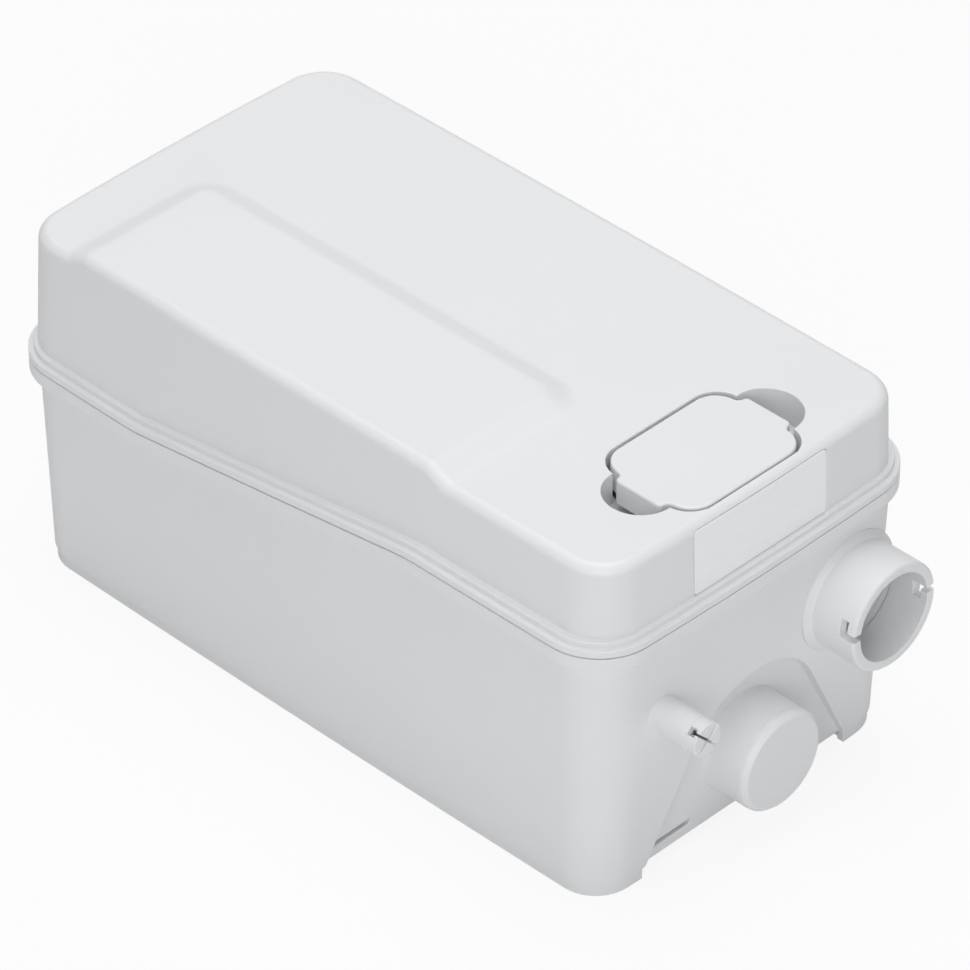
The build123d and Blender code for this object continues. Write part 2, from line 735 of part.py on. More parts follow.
# Discharge socket, seated on the tank's root ring, with two bayonet slots and the valve's pocket
with BuildPart() as outlet_socket:
    turn_y(OUT_X, OUT_Z, [
        (OUT_MOUTH, OUT_BORE),
        (OUT_MOUTH, OUT_RADIUS - OUT_EDGE),
        (OUT_MOUTH + OUT_EDGE, OUT_RADIUS),
        (OUT_FLARE, OUT_RADIUS),
        (OUT_FACE, OUT_ROOT),
        (OUT_FACE, OUT_RADIUS),
        (OUT_SEAT, OUT_RADIUS),
        (OUT_SEAT, OUT_POCKET),
        (OUT_MOUTH + OUT_STEP, OUT_POCKET),
        (OUT_MOUTH + OUT_STEP, OUT_BORE),
    ])
    for angle in BAYONET_ANGLES:
        ring = (OUT_X, OUT_Z, OUT_BORE - WALL, OUT_RADIUS + WALL)
        start = angle - BAYONET_WIDTH / 2
        sector(*ring, start, BAYONET_WIDTH, OUT_MOUTH - WALL, BAYONET_DEPTH + WALL, Mode.SUBTRACT)
        leg = OUT_MOUTH + BAYONET_DEPTH - BAYONET_LEG
        turned = BAYONET_WIDTH + BAYONET_TURN
        sector(*ring, start - BAYONET_TURN, turned, leg, BAYONET_LEG, Mode.SUBTRACT)
finish(outlet_socket, "outlet_socket")

with BuildPart() as foot_pads:
    for x, y in PAD_PLACES:
        tube_z(x, y, 0, PAD_HEIGHT, PAD_RADIUS)
finish(foot_pads, "foot_pads")


def panel_face(height, run, corner, shrink=0.0):
    """The raised panel's outline at a height, which runs past the cover's left wall."""
    right = PANEL_RIGHT - run - shrink
    front = PANEL_FRONT + run + shrink
    back = PANEL_BACK - run - shrink
    with BuildSketch(Plane.XY.offset(height)) as face:
        with Locations((right - RIM_WIDTH / 2, (front + back) / 2)):
            Rectangle(RIM_WIDTH, back - front)
        fillet(face.vertices().group_by(Axis.X)[-1], corner)
    return face.sketch


def cover_block(extra, top, panel_top, shrink):
    """The cover's walls and flat top with the ramped panel on it, drawn in by an extra inset."""
    high = panel_top + TOP_EDGE
    with BuildPart() as above:
        block(-RIM_WIDTH, RIM_WIDTH, -RIM_LENGTH, RIM_LENGTH, top, high + TOP_EDGE)
        loft(
            sections=(
                panel_face(top, 0, PANEL_CORNER, shrink),
                panel_face(panel_top, PANEL_RUN, PANEL_TOP_CORNER, shrink),
            ),
            ruled=True,
            mode=Mode.SUBTRACT,
        )
    with BuildPart() as form:
        loft(sections=(cover_outline(extra, SEAM_BACK), cover_outline(extra, high)), ruled=True)
        add(above.part, mode=Mode.SUBTRACT)
    return form.part


# Cover: the walls and the panelled top with a rounded edge, its rim, the hatch pocket, the label's
# recess, the hangers for the controller and the gland's hole
label_front = -(RIM_LENGTH / 2 - cover_inset(LABEL_Z) - COVER_END_INSET + END_BOW)
label_plane = Plane(origin=(0, label_front, LABEL_Z), x_dir=(1, 0, 0), z_dir=(0, -1, COVER_DRAFT))
wall_limit = outline(COVER_TOP_INSET + PANEL_RISE / 4, 0, COVER_END_INSET).face()


def on_wall(edge):
    """Whether an edge lies on the cover's outer wall."""
    points = [edge @ place for place in (0.0, 0.5, 1.0)]
    return not any(wall_limit.is_inside((point.X, point.Y, 0)) for point in points)


def label_face(room):
    with BuildSketch(label_plane) as face:
        RectangleRounded(LABEL_WIDTH + 2 * room, LABEL_HEIGHT + 2 * room, LABEL_CORNER + room)
    return face.sketch


with BuildPart() as cover:
    add(cover_block(0, COVER_TOP, PANEL_TOP, 0))
    top_edges = cover.edges().filter_by(lambda edge: edge.bounding_box().min.Z > COVER_TOP - FIT)
    level = top_edges.filter_by(lambda edge: edge.bounding_box().size.Z < FIT)
    fillet([edge for edge in level if not on_wall(edge)], PANEL_BLEND)
    top_edges = cover.edges().filter_by(lambda edge: edge.bounding_box().min.Z > COVER_TOP - FIT)
    fillet([edge for edge in top_edges if on_wall(edge)], TOP_EDGE)
    inner_top = COVER_TOP - COVER_WALL
    inner_panel = PANEL_TOP - COVER_WALL
    add(cover_block(COVER_WALL, inner_top, inner_panel, COVER_WALL), mode=Mode.SUBTRACT)
    extrude(
        seam_region(SEAM_GAP, 2 * COVER_TOP), amount=RIM_WIDTH, both=True, mode=Mode.INTERSECT
    )
    add(seam_ring(0, RIM_LIP, SEAM_GAP, RIM_LOW))
    add(seam_ring(RIM_STEP, RIM_LIP, SEAM_GAP, RIM_HIGH))
    groove_outer = TONGUE_INSET - GROOVE_ROOM
    groove_inner = TONGUE_INSET + TONGUE_WALL + GROOVE_ROOM
    add(seam_ring(groove_outer, groove_inner, -SEAM_GAP, GROOVE_DEPTH), mode=Mode.SUBTRACT)
    # hatch pocket with its finger scoops, and the manhole through its floor
    tray_low = TRAY_FLOOR - TRAY_WALL
    extrude(tray_face(tray_low, TRAY_WALL), amount=COVER_TOP - COVER_WALL / 2 - tray_low)
    extrude(tray_face(TRAY_FLOOR, 0), amount=COVER_TOP - tray_low, mode=Mode.SUBTRACT)
    manhole = (0, HATCH_Y, MANHOLE_WIDTH, MANHOLE_LENGTH, MANHOLE_CORNER)
    round_block(*manhole, tray_low - TRAY_WALL, TRAY_FLOOR + TRAY_WALL, Mode.SUBTRACT)
    # label recess
    extrude(label_face(LABEL_GAP), amount=-LABEL_SUNK - LABEL_PLATE, mode=Mode.SUBTRACT)
    extrude(label_face(LABEL_GAP), amount=COVER_WALL, mode=Mode.SUBTRACT)
    # hangers and their screw holes
    for x, y in HANGER_PLACES:
        tube_z(x, y, BOX_TOP, COVER_TOP - COVER_WALL / 2, HANGER)
        tube_z(x, y, BOX_TOP - FIT, BOX_TOP + BOX_SCREW_GRIP, BOX_SCREW, mode=Mode.SUBTRACT)
    # gland pad
    tube_y(GLAND_X, GLAND_Z, GLAND_INNER, GLAND_FACE, GLAND_PAD)
    gland_hole = GLAND_THREAD + FIT
    tube_y(GLAND_X, GLAND_Z, GLAND_INNER - WALL, GLAND_FACE + WALL, gland_hole, 0, Mode.SUBTRACT)
finish(cover, "cover")

# The gasket stops just short of the tongue that presses it
with BuildPart() as cover_gasket:
    add(
        seam_ring(
            TONGUE_INSET, TONGUE_INSET + TONGUE_WALL, TONGUE_HEIGHT + SOFT_FIT, GROOVE_DEPTH
        )
    )
finish(cover_gasket, "cover_gasket")

with BuildPart() as label_plate:
    extrude(label_face(0), amount=-LABEL_SUNK - LABEL_PLATE)
    extrude(label_face(LABEL_GAP), amount=-LABEL_SUNK, mode=Mode.SUBTRACT)
finish(label_plate, "label_plate")

# Hatch lid: a shallow cap with two tabs and a neck that locates in the manhole
with BuildPart() as hatch_lid:
    extrude(hatch_lid_face(LID_LOW, 0), amount=COVER_TOP - LID_LOW)
    fillet(hatch_lid.edges().group_by(Axis.Z)[-1], LID_EDGE)
    lid_room = COVER_TOP - LID_PLATE - LID_LOW
    extrude(hatch_lid_face(LID_LOW, LID_WALL), amount=lid_room, mode=Mode.SUBTRACT)
    neck_low = TRAY_FLOOR - TRAY_WALL - NECK_DROP
    neck_width = MANHOLE_WIDTH - 2 * NECK_GAP
    neck_length = MANHOLE_LENGTH - 2 * NECK_GAP
    neck_corner = MANHOLE_CORNER - NECK_GAP
    neck_top = COVER_TOP - LID_PLATE
    round_block(0, HATCH_Y, neck_width, neck_length, neck_corner, neck_low, neck_top)
    round_block(
        0,
        HATCH_Y,
        neck_width - 2 * LID_WALL,
        neck_length - 2 * LID_WALL,
        neck_corner - LID_WALL,
        neck_low,
        neck_top,
        Mode.SUBTRACT,
    )
finish(hatch_lid, "hatch_lid")

with BuildPart() as hatch_seal:
    with BuildSketch(Plane.XY.offset(TRAY_FLOOR)):
        with Locations((0, HATCH_Y)):
            RectangleRounded(
                HATCH_WIDTH - 2 * HATCH_SIDE_GAP - 2 * SEAL_GAP,
                HATCH_LENGTH - 2 * HATCH_GAP - 2 * SEAL_GAP,
                HATCH_CORNER - HATCH_GAP - SEAL_GAP,
            )
            RectangleRounded(
                MANHOLE_WIDTH + LID_WALL,
                MANHOLE_LENGTH + LID_WALL,
                MANHOLE_CORNER + LID_WALL / 2,
                mode=Mode.SUBTRACT,
            )
    extrude(amount=HATCH_SEAL)
finish(hatch_seal, "hatch_seal")

# Vent: the cross-slotted end piece and the filter behind the stub
with BuildPart() as vent_insert:
    plug_start = VENT_END + VENT_CAP
    plug_end = plug_start + VENT_PLUG
    tube_y(VENT_X, VENT_Z, VENT_END, plug_start, VENT_RADIUS)
    tube_y(VENT_X, VENT_Z, plug_start, plug_end, VENT_BORE - FIT)
    face_back = VENT_END + VENT_FACE
    tube_y(VENT_X, VENT_Z, face_back, plug_end, VENT_PASSAGE, mode=Mode.SUBTRACT)
    with BuildSketch(Plane.XZ.offset(-VENT_END)):
        with Locations((VENT_X, VENT_Z)):
            Rectangle(2 * VENT_RADIUS + WALL, VENT_SLIT, rotation=VENT_SLIT_ANGLE)
            Rectangle(2 * VENT_RADIUS + WALL, VENT_SLIT, rotation=-VENT_SLIT_ANGLE)
    extrude(amount=-VENT_SLIT_DEPTH, mode=Mode.SUBTRACT)
    with BuildSketch(Plane.XZ.offset(-face_back)):
        with Locations((VENT_X, VENT_Z)):
            with PolarLocations(VENT_RADIUS, 1, VENT_WINDOW_ANGLE):
                Rectangle(VENT_RADIUS, VENT_WINDOW)
    extrude(amount=-VENT_WINDOW, mode=Mode.SUBTRACT)
finish(vent_insert, "vent_insert")

filter_back = FILTER_SEAT + FILTER_LENGTH
filter_room = FILTER_RADIUS - FILTER_WALL
filter_start = FILTER_SEAT + FILTER_WALL
with BuildPart() as filter_housing:
    turn_y(VENT_X, VENT_Z, [
        (FILTER_SEAT - FILTER_STUB, FILTER_PORT),
        (FILTER_SEAT - FILTER_STUB, VENT_BORE - FIT),
        (FILTER_SEAT, VENT_BORE - FIT),
        (FILTER_SEAT, FILTER_RADIUS),
        (filter_back, FILTER_RADIUS),
        (filter_back, filter_room - FILTER_WALL / 2),
        (filter_back - FILTER_WALL, filter_room - FILTER_WALL / 2),
        (filter_back - FILTER_WALL, filter_room),
        (filter_start, filter_room),
        (filter_start, FILTER_PORT),
    ])
finish(filter_housing, "filter_housing")

with BuildPart() as carbon_filter:
    tube_y(VENT_X, VENT_Z, filter_start, filter_back - FILTER_WALL, filter_room - FIT)
finish(carbon_filter, "carbon_filter")

# Check valve: the housing plugs into the discharge socket from inside, and its rear plate carries
# the seat, the hinge lugs and the pipe socket
plate_back = VALVE_BACK + VALVE_PLATE
with BuildPart() as valve_housing:
    flange_back = OUT_SEAT + VALVE_FLANGE_WALL
    turn_y(OUT_X, OUT_Z, [
        (VALVE_NOSE, NOSE_BORE),
        (VALVE_NOSE, NOSE_RADIUS),
        (OUT_SEAT, NOSE_RADIUS),
        (OUT_SEAT, VALVE_FLANGE),
        (flange_back, VALVE_FLANGE),
        (flange_back, CHAMBER_OUTER),
        (VALVE_BACK, CHAMBER_OUTER),
        (VALVE_BACK, CHAMBER_BORE),
        (flange_back, CHAMBER_BORE),
        (OUT_SEAT, NOSE_BORE),
    ])
    for x, z in COLUMN_PLACES:
        tube_y(x, z, OUT_SEAT, VALVE_BACK, COLUMN_RADIUS)
        tube_y(x, z, OUT_SEAT - WALL, VALVE_BACK + WALL, VALVE_SCREW + FIT, mode=Mode.SUBTRACT)
finish(valve_housing, "valve_housing")

lug_near = KNUCKLE_WIDTH / 2 + LUG_GAP
lug_far = lug_near + LUG_WALL
with BuildPart() as valve_cover:
    tube_y(OUT_X, OUT_Z, VALVE_BACK, plate_back, CHAMBER_OUTER)
    for x, z in COLUMN_PLACES:
        tube_y(x, z, VALVE_BACK, plate_back, COLUMN_RADIUS)
        tube_y(x, z, VALVE_BACK - WALL, plate_back + WALL, VALVE_SCREW + FIT, mode=Mode.SUBTRACT)
    tube_y(OUT_X, OUT_Z, SEAT_FACE, VALVE_BACK, SEAT_OUTER)
    tube_y(OUT_X, OUT_Z, plate_back, plate_back + SOCKET_DEPTH, PIPE_SOCKET + SOCKET_WALL)
    tube_y(OUT_X, OUT_Z, SEAT_FACE, plate_back, SEAT_BORE, mode=Mode.SUBTRACT)
    tube_y(OUT_X, OUT_Z, plate_back, plate_back + SOCKET_DEPTH, PIPE_SOCKET, mode=Mode.SUBTRACT)
    ring_y = plate_back + RING_PLACE
    ring_outer = PIPE_SOCKET + RING_WIRE
    tube_y(OUT_X, OUT_Z, ring_y, ring_y + 2 * RING_WIRE, ring_outer, mode=Mode.SUBTRACT)
    for side in (-1, 1):
        near, far = sorted((OUT_X + side * lug_near, OUT_X + side * lug_far))
        low = HINGE_Z - KNUCKLE_RADIUS
        high = HINGE_Z + KNUCKLE_RADIUS
        block(near, far, HINGE_Y, VALVE_BACK, low, high)
        rod_x(HINGE_Y, HINGE_Z, near, far, KNUCKLE_RADIUS)
        rod_x(HINGE_Y, HINGE_Z, near, far, PIN_RADIUS, Mode.SUBTRACT)
finish(valve_cover, "valve_cover")

with BuildPart() as flap_pin:
    rod_x(HINGE_Y, HINGE_Z, OUT_X - lug_far, OUT_X + lug_far, PIN_RADIUS)
finish(flap_pin, "flap_pin")

with BuildPart() as valve_flap:
    tube_y(OUT_X, OUT_Z, FACING_FRONT - FLAP_WALL, FACING_FRONT, FLAP_RADIUS)
    arm = KNUCKLE_WIDTH / 2 - FLAP_WALL / 2
    arm_low = OUT_Z + FLAP_RADIUS - 2 * FLAP_WALL
    block(OUT_X - arm, OUT_X + arm, FACING_FRONT - FLAP_WALL, FACING_FRONT, arm_low, HINGE_Z)
    knuckle = KNUCKLE_WIDTH / 2
    rod_x(HINGE_Y, HINGE_Z, OUT_X - knuckle, OUT_X + knuckle, KNUCKLE_RADIUS)
    pin_hole = PIN_RADIUS + RUNNING_FIT
    rod_x(HINGE_Y, HINGE_Z, OUT_X - knuckle, OUT_X + knuckle, pin_hole, Mode.SUBTRACT)
finish(valve_flap, "valve_flap")

with BuildPart() as flap_facing:
    tube_y(OUT_X, OUT_Z, FACING_FRONT, SEAT_FACE - FIT, FACING_RADIUS)
finish(flap_facing, "flap_facing")

with BuildPart() as valve_screws:
    for x, z in COLUMN_PLACES:
        tube_y(x, z, OUT_SEAT - VALVE_SCREW_GRIP, plate_back, VALVE_SCREW)
        tube_y(x, z, plate_back, plate_back + VALVE_HEAD_WALL, VALVE_HEAD)
        socket_start = plate_back + VALVE_HEAD_WALL / 2
        socket_end = plate_back + VALVE_HEAD_WALL
        tube_y(x, z, socket_start, socket_end, VALVE_HEAD / 2, mode=Mode.SUBTRACT)
finish(valve_screws, "valve_screws")

# Pump: suction plate on three feet, housing with its outlet socket, impeller
bolt_tip = BASE_LOW - FOOT_STAND / 2
with BuildPart() as pump_base:
    tube_z(PUMP_X, PUMP_Y, BASE_LOW, CHAMBER_LOW, PUMP_RADIUS)
    for x, y in EAR_PLACES:
        tube_z(x, y, BASE_LOW, CHAMBER_LOW, EAR_RADIUS)
        tube_z(x, y, FLOOR_TOP, BASE_LOW, FOOT_RADIUS)
        tube_z(x, y, bolt_tip, CHAMBER_LOW, BOLT_RADIUS, mode=Mode.SUBTRACT)
    tube_z(PUMP_X, PUMP_Y, BASE_LOW, CHAMBER_LOW, SUCTION_RADIUS, mode=Mode.SUBTRACT)
finish(pump_base, "pump_base")

outlet_seat = OUTLET_START + OUTLET_WALL
outlet_end = outlet_seat + SOCKET_DEPTH
ring_x = outlet_seat + RING_PLACE
with BuildPart() as pump_housing:
    tube_z(PUMP_X, PUMP_Y, CHAMBER_LOW, HOUSING_TOP, PUMP_RADIUS)
    half = OUTLET_BORE + OUTLET_WALL
    block(PUMP_X, OUTLET_START, PIPE_Y - half, PIPE_Y + half, CHAMBER_LOW, HOUSING_TOP)
    rod_x(PIPE_Y, PIPE_Z, OUTLET_START, outlet_end, PIPE_SOCKET + SOCKET_WALL)
    for x, y in EAR_PLACES:
        tube_z(x, y, CHAMBER_LOW, HOUSING_TOP, EAR_RADIUS)
        tube_z(x, y, CHAMBER_LOW, HOUSING_TOP, BOLT_RADIUS + FIT, mode=Mode.SUBTRACT)
    tube_z(PUMP_X, PUMP_Y, CHAMBER_LOW, CHAMBER_TOP, CHAMBER_RADIUS, mode=Mode.SUBTRACT)
    tube_z(PUMP_X, PUMP_Y, CHAMBER_TOP, HOUSING_TOP, SHAFT_PASSAGE, mode=Mode.SUBTRACT)
    groove_low = HOUSING_TOP - SEAL_WALL
    tube_z(PUMP_X, PUMP_Y, groove_low, HOUSING_TOP, SEAL_OUTER, SEAL_INNER, Mode.SUBTRACT)
    rod_x(PIPE_Y, PIPE_Z, PUMP_X, outlet_seat, OUTLET_BORE, Mode.SUBTRACT)
    rod_x(PIPE_Y, PIPE_Z, outlet_seat, outlet_end, PIPE_SOCKET, Mode.SUBTRACT)
    rod_x(PIPE_Y, PIPE_Z, ring_x, ring_x + 2 * RING_WIRE, ring_outer, Mode.SUBTRACT)
finish(pump_housing, "pump_housing")

with BuildPart() as housing_seal:
    tube_z(PUMP_X, PUMP_Y, groove_low, HOUSING_TOP, SEAL_OUTER, SEAL_INNER)
finish(housing_seal, "housing_seal")

with BuildPart() as impeller:
    tube_z(PUMP_X, PUMP_Y, SHROUD_LOW, SHROUD_LOW + SHROUD, IMPELLER_RADIUS)
    tube_z(PUMP_X, PUMP_Y, BLADE_LOW, SHROUD_LOW, HUB_RADIUS)
    blade_root = HUB_RADIUS - BLADE_WALL / 2
    blade_tip = IMPELLER_RADIUS - BLADE_WALL
    with BuildSketch(Plane.XY.offset(BLADE_LOW)) as blade_face:
        with Locations((PUMP_X, PUMP_Y)):
            with PolarLocations(0, BLADES):
                blade = ThreePointArc(
                    (blade_root, 0),
                    ((blade_root + blade_tip) / 2, -BLADE_SWEEP / 2),
                    (blade_tip, -2 * BLADE_SWEEP),
                    mode=Mode.PRIVATE,
                )
                SlotArc(blade, BLADE_WALL)
    extrude(amount=BLADE_HEIGHT)
    hub_top = SHROUD_LOW + SHROUD
    tube_z(PUMP_X, PUMP_Y, BLADE_LOW, hub_top, SHAFT_RADIUS, mode=Mode.SUBTRACT)
finish(impeller, "impeller")

with BuildPart() as impeller_nut:
    hex_z(PUMP_X, PUMP_Y, NUT_FLATS, BLADE_LOW - NUT_HEIGHT, BLADE_LOW)
    tube_z(PUMP_X, PUMP_Y, BLADE_LOW - NUT_HEIGHT, BLADE_LOW, THREAD_RADIUS, 0, Mode.SUBTRACT)
finish(impeller_nut, "impeller_nut")

with BuildPart() as motor_shaft:
    tube_z(PUMP_X, PUMP_Y, BLADE_LOW - THREAD_LENGTH, BLADE_LOW, THREAD_RADIUS)
    tube_z(PUMP_X, PUMP_Y, BLADE_LOW, CAP_BEARING_TOP, SHAFT_RADIUS)
finish(motor_shaft, "motor_shaft")

# Shaft seal: a fixed seat and a ring that turns on it
seat_low = HOUSING_TOP + NECK_FLOOR
seat_top = seat_low + SEAL_SEAT_HEIGHT
with BuildPart() as shaft_seal_seat:
    tube_z(PUMP_X, PUMP_Y, seat_low, seat_top, SEAL_POCKET, SEAL_SEAT_BORE)
finish(shaft_seal_seat, "shaft_seal_seat")

with BuildPart() as shaft_seal_ring:
    ring_low = seat_top + FIT
    ring_top = ring_low + SEAL_RING_HEIGHT
    tube_z(PUMP_X, PUMP_Y, ring_low, ring_top, SEAL_RING_RADIUS, SHAFT_RADIUS)
finish(shaft_seal_ring, "shaft_seal_ring")

# Motor: flange with the lower bearing, can, stator, rotor, cap with the upper bearing
with BuildPart() as motor_flange:
    tube_z(PUMP_X, PUMP_Y, HOUSING_TOP, SHIELD_TOP, PUMP_RADIUS)
    tube_z(PUMP_X, PUMP_Y, SHIELD_TOP, NECK_TOP, NECK_RADIUS)
    for x, y in EAR_PLACES:
        tube_z(x, y, HOUSING_TOP, SHIELD_TOP, EAR_RADIUS)
        tube_z(x, y, HOUSING_TOP, SHIELD_TOP, BOLT_RADIUS + FIT, mode=Mode.SUBTRACT)
    for x, y in TIE_PLACES:
        tube_z(x, y, HOUSING_TOP, SHIELD_TOP, TIE_EAR)
        tube_z(x, y, HOUSING_TOP + NECK_FLOOR, SHIELD_TOP, TIE_RADIUS, mode=Mode.SUBTRACT)
    bearing_low = NECK_TOP - BEARING_WIDTH
    tube_z(PUMP_X, PUMP_Y, HOUSING_TOP, seat_low, SHAFT_PASSAGE, mode=Mode.SUBTRACT)
    tube_z(PUMP_X, PUMP_Y, seat_low, bearing_low, SEAL_POCKET, mode=Mode.SUBTRACT)
    tube_z(PUMP_X, PUMP_Y, bearing_low, NECK_TOP, BEARING_RADIUS, mode=Mode.SUBTRACT)
finish(motor_flange, "motor_flange")


def bearing(low):
    """A ball bearing: two rings with grooves, and balls between them."""
    high = low + BEARING_WIDTH
    middle = (low + high) / 2
    circle = (BEARING_OUTER_RACE + BEARING_INNER_RACE) / 2
    ball = (BEARING_OUTER_RACE - BEARING_INNER_RACE) / 2 + BALL_DIP
    with BuildPart() as rings:
        tube_z(PUMP_X, PUMP_Y, low, high, BEARING_RADIUS, BEARING_OUTER_RACE)
        tube_z(PUMP_X, PUMP_Y, low, high, BEARING_INNER_RACE, SHAFT_RADIUS + RUNNING_FIT)
        with BuildSketch(Plane(origin=(PUMP_X, PUMP_Y, 0), x_dir=(1, 0, 0), z_dir=(0, -1, 0))):
            with Locations((circle, middle)):
                Circle(ball + BALL_GAP)
        revolve(axis=Axis((PUMP_X, PUMP_Y, 0), (0, 0, 1)), mode=Mode.SUBTRACT)
        with Locations((PUMP_X, PUMP_Y, middle)):
            with PolarLocations(circle, BALLS):
                Sphere(ball)
    return rings


lower_bearing = bearing(NECK_TOP - BEARING_WIDTH)
finish(lower_bearing, "lower_bearing")
upper_bearing = bearing(CAP_BEARING_TOP - BEARING_WIDTH)
finish(upper_bearing, "upper_bearing")

can_bore = CAN_RADIUS - CAN_WALL
with BuildPart() as motor_can:
    tube_z(PUMP_X, PUMP_Y, SHIELD_TOP, CAN_TOP, CAN_RADIUS, can_bore)
finish(motor_can, "motor_can")

SLOT_PLACES = around(
    PUMP_X, PUMP_Y, WINDING_CIRCLE, [360 / WINDING_SLOTS * slot for slot in range(WINDING_SLOTS)]
)
with BuildPart() as stator_core:
    tube_z(PUMP_X, PUMP_Y, STACK_LOW, STACK_TOP, can_bore, ROTOR_RADIUS + AIR_GAP)
    for x, y in SLOT_PLACES:
        tube_z(x, y, STACK_LOW, STACK_TOP, WINDING_SLOT, mode=Mode.SUBTRACT)
finish(stator_core, "stator_core")

with BuildPart() as stator_windings:
    for low in (STACK_LOW - WINDING_TURN, STACK_TOP):
        tube_z(PUMP_X, PUMP_Y, low, low + WINDING_TURN, WINDING_OUTER, WINDING_INNER)
    for x, y in SLOT_PLACES:
        low = STACK_LOW - WINDING_TURN / 2
        tube_z(x, y, low, STACK_TOP + WINDING_TURN / 2, WINDING_SLOT - FIT)
finish(stator_windings, "stator_windings")

with BuildPart() as rotor_core:
    tube_z(PUMP_X, PUMP_Y, STACK_LOW, STACK_TOP, ROTOR_RADIUS, SHAFT_RADIUS)
finish(rotor_core, "rotor_core")

with BuildPart() as rotor_rings:
    ring_outer_radius = ROTOR_RADIUS - AIR_GAP
    for low in (STACK_LOW - ROTOR_RING, STACK_TOP):
        ring_inner = ring_outer_radius - ROTOR_RING_WALL
        tube_z(PUMP_X, PUMP_Y, low, low + ROTOR_RING, ring_outer_radius, ring_inner)
finish(rotor_rings, "rotor_rings")

with BuildPart() as motor_cap:
    cap_top = CAN_TOP + CAP_WALL
    tube_z(PUMP_X, PUMP_Y, CAN_TOP, cap_top, CAN_RADIUS)
    tube_z(PUMP_X, PUMP_Y, cap_top, cap_top + CAP_DOME_RISE, CAP_DOME)
    fillet(motor_cap.edges().group_by(Axis.Z)[-1], CAP_DOME_RISE / 2)
    tube_z(PUMP_X, PUMP_Y, CAN_TOP - CAP_NECK, CAN_TOP, NECK_RADIUS)
    for x, y in TIE_PLACES:
        tube_z(x, y, CAN_TOP, cap_top, TIE_EAR)
        tube_z(x, y, CAN_TOP, cap_top, TIE_RADIUS + FIT, mode=Mode.SUBTRACT)
    cap_low = CAN_TOP - CAP_NECK
    tube_z(PUMP_X, PUMP_Y, cap_low, CAP_BEARING_TOP, BEARING_RADIUS, mode=Mode.SUBTRACT)
    tube_z(PUMP_X, PUMP_Y, CAP_BEARING_TOP, CAN_TOP, SHAFT_PASSAGE, mode=Mode.SUBTRACT)
finish(motor_cap, "motor_cap")

with BuildPart() as cap_screws:
    for x, y in TIE_PLACES:
        tip = HOUSING_TOP + NECK_FLOOR
        screw_z(x, y, CAN_TOP + CAP_WALL, tip, TIE_RADIUS, TIE_HEAD, TIE_HEAD_WALL)
finish(cap_screws, "cap_screws")

with BuildPart() as pump_screws:
    for x, y in EAR_PLACES:
        screw_z(x, y, SHIELD_TOP, bolt_tip, BOLT_RADIUS, BOLT_HEAD, BOLT_HEAD_WALL)
finish(pump_screws, "pump_screws")

# Discharge pipe from the pump's outlet up and forward to the check valve, with its two seals
pipe_start = outlet_seat + SOCKET_STOP
pipe_end = plate_back + SOCKET_STOP
with BuildPart() as discharge_pipe:
    with BuildLine() as pipe_path:
        FilletPolyline(
            (pipe_start, PIPE_Y, PIPE_Z),
            (OUT_X, PIPE_Y, PIPE_Z),
            (OUT_X, PIPE_Y, OUT_Z),
            (OUT_X, pipe_end, OUT_Z),
            radius=PIPE_BEND,
        )
    with BuildSketch(Plane(origin=(pipe_start, PIPE_Y, PIPE_Z), z_dir=(1, 0, 0))):
        Circle(PIPE_RADIUS)
        Circle(PIPE_RADIUS - PIPE_WALL, mode=Mode.SUBTRACT)
    sweep()
finish(discharge_pipe, "discharge_pipe")

with BuildPart() as pipe_seals:
    tube_y(OUT_X, OUT_Z, ring_y, ring_y + 2 * RING_WIRE, ring_outer, PIPE_RADIUS)
    rod_x(PIPE_Y, PIPE_Z, ring_x, ring_x + 2 * RING_WIRE, ring_outer)
    rod_x(PIPE_Y, PIPE_Z, ring_x, ring_x + 2 * RING_WIRE, PIPE_RADIUS, Mode.SUBTRACT)
finish(pipe_seals, "pipe_seals")

# Level switch: air trapped in the tube lifts the diaphragm and the plunger
with BuildPart() as level_tube:
    tube_z(LEVEL_X, LEVEL_Y, FLOOR_TOP, LEVEL_TOP, LEVEL_RADIUS)
    level_bore = LEVEL_RADIUS - LEVEL_WALL
    level_roof = LEVEL_TOP - LEVEL_WALL
    tube_z(LEVEL_X, LEVEL_Y, FLOOR_TOP, level_roof, level_bore, mode=Mode.SUBTRACT)
    nipple = 2 * LEVEL_PORT
    tube_z(LEVEL_X, LEVEL_Y, LEVEL_TOP, LEVEL_TOP + SWITCH_WALL, nipple)
    tube_z(LEVEL_X, LEVEL_Y, level_roof, LEVEL_TOP + SWITCH_WALL, LEVEL_PORT, 0, Mode.SUBTRACT)
    notch_top = FLOOR_TOP + LEVEL_NOTCH_HEIGHT
    half = LEVEL_NOTCH / 2
    reach = LEVEL_RADIUS + LEVEL_WALL
    for across, along in ((half, reach), (reach, half)):
        block(
            LEVEL_X - across,
            LEVEL_X + across,
            LEVEL_Y - along,
            LEVEL_Y + along,
            FLOOR_TOP,
            notch_top,
            Mode.SUBTRACT,
        )
finish(level_tube, "level_tube")

with BuildPart() as switch_base:
    tube_z(LEVEL_X, LEVEL_Y, SWITCH_LOW, MEMBRANE_LOW, SWITCH_RADIUS)
    ledge = SWITCH_RADIUS - SWITCH_LEDGE
    tube_z(LEVEL_X, LEVEL_Y, SWITCH_LOW + SWITCH_WALL, MEMBRANE_LOW, ledge, 0, Mode.SUBTRACT)
    port = 2 * LEVEL_PORT + FIT
    tube_z(LEVEL_X, LEVEL_Y, SWITCH_LOW, SWITCH_LOW + SWITCH_WALL, port, 0, Mode.SUBTRACT)
finish(switch_base, "switch_base")

with BuildPart() as switch_diaphragm:
    tube_z(LEVEL_X, LEVEL_Y, MEMBRANE_LOW, CAP_LOW, SWITCH_RADIUS)
finish(switch_diaphragm, "switch_diaphragm")

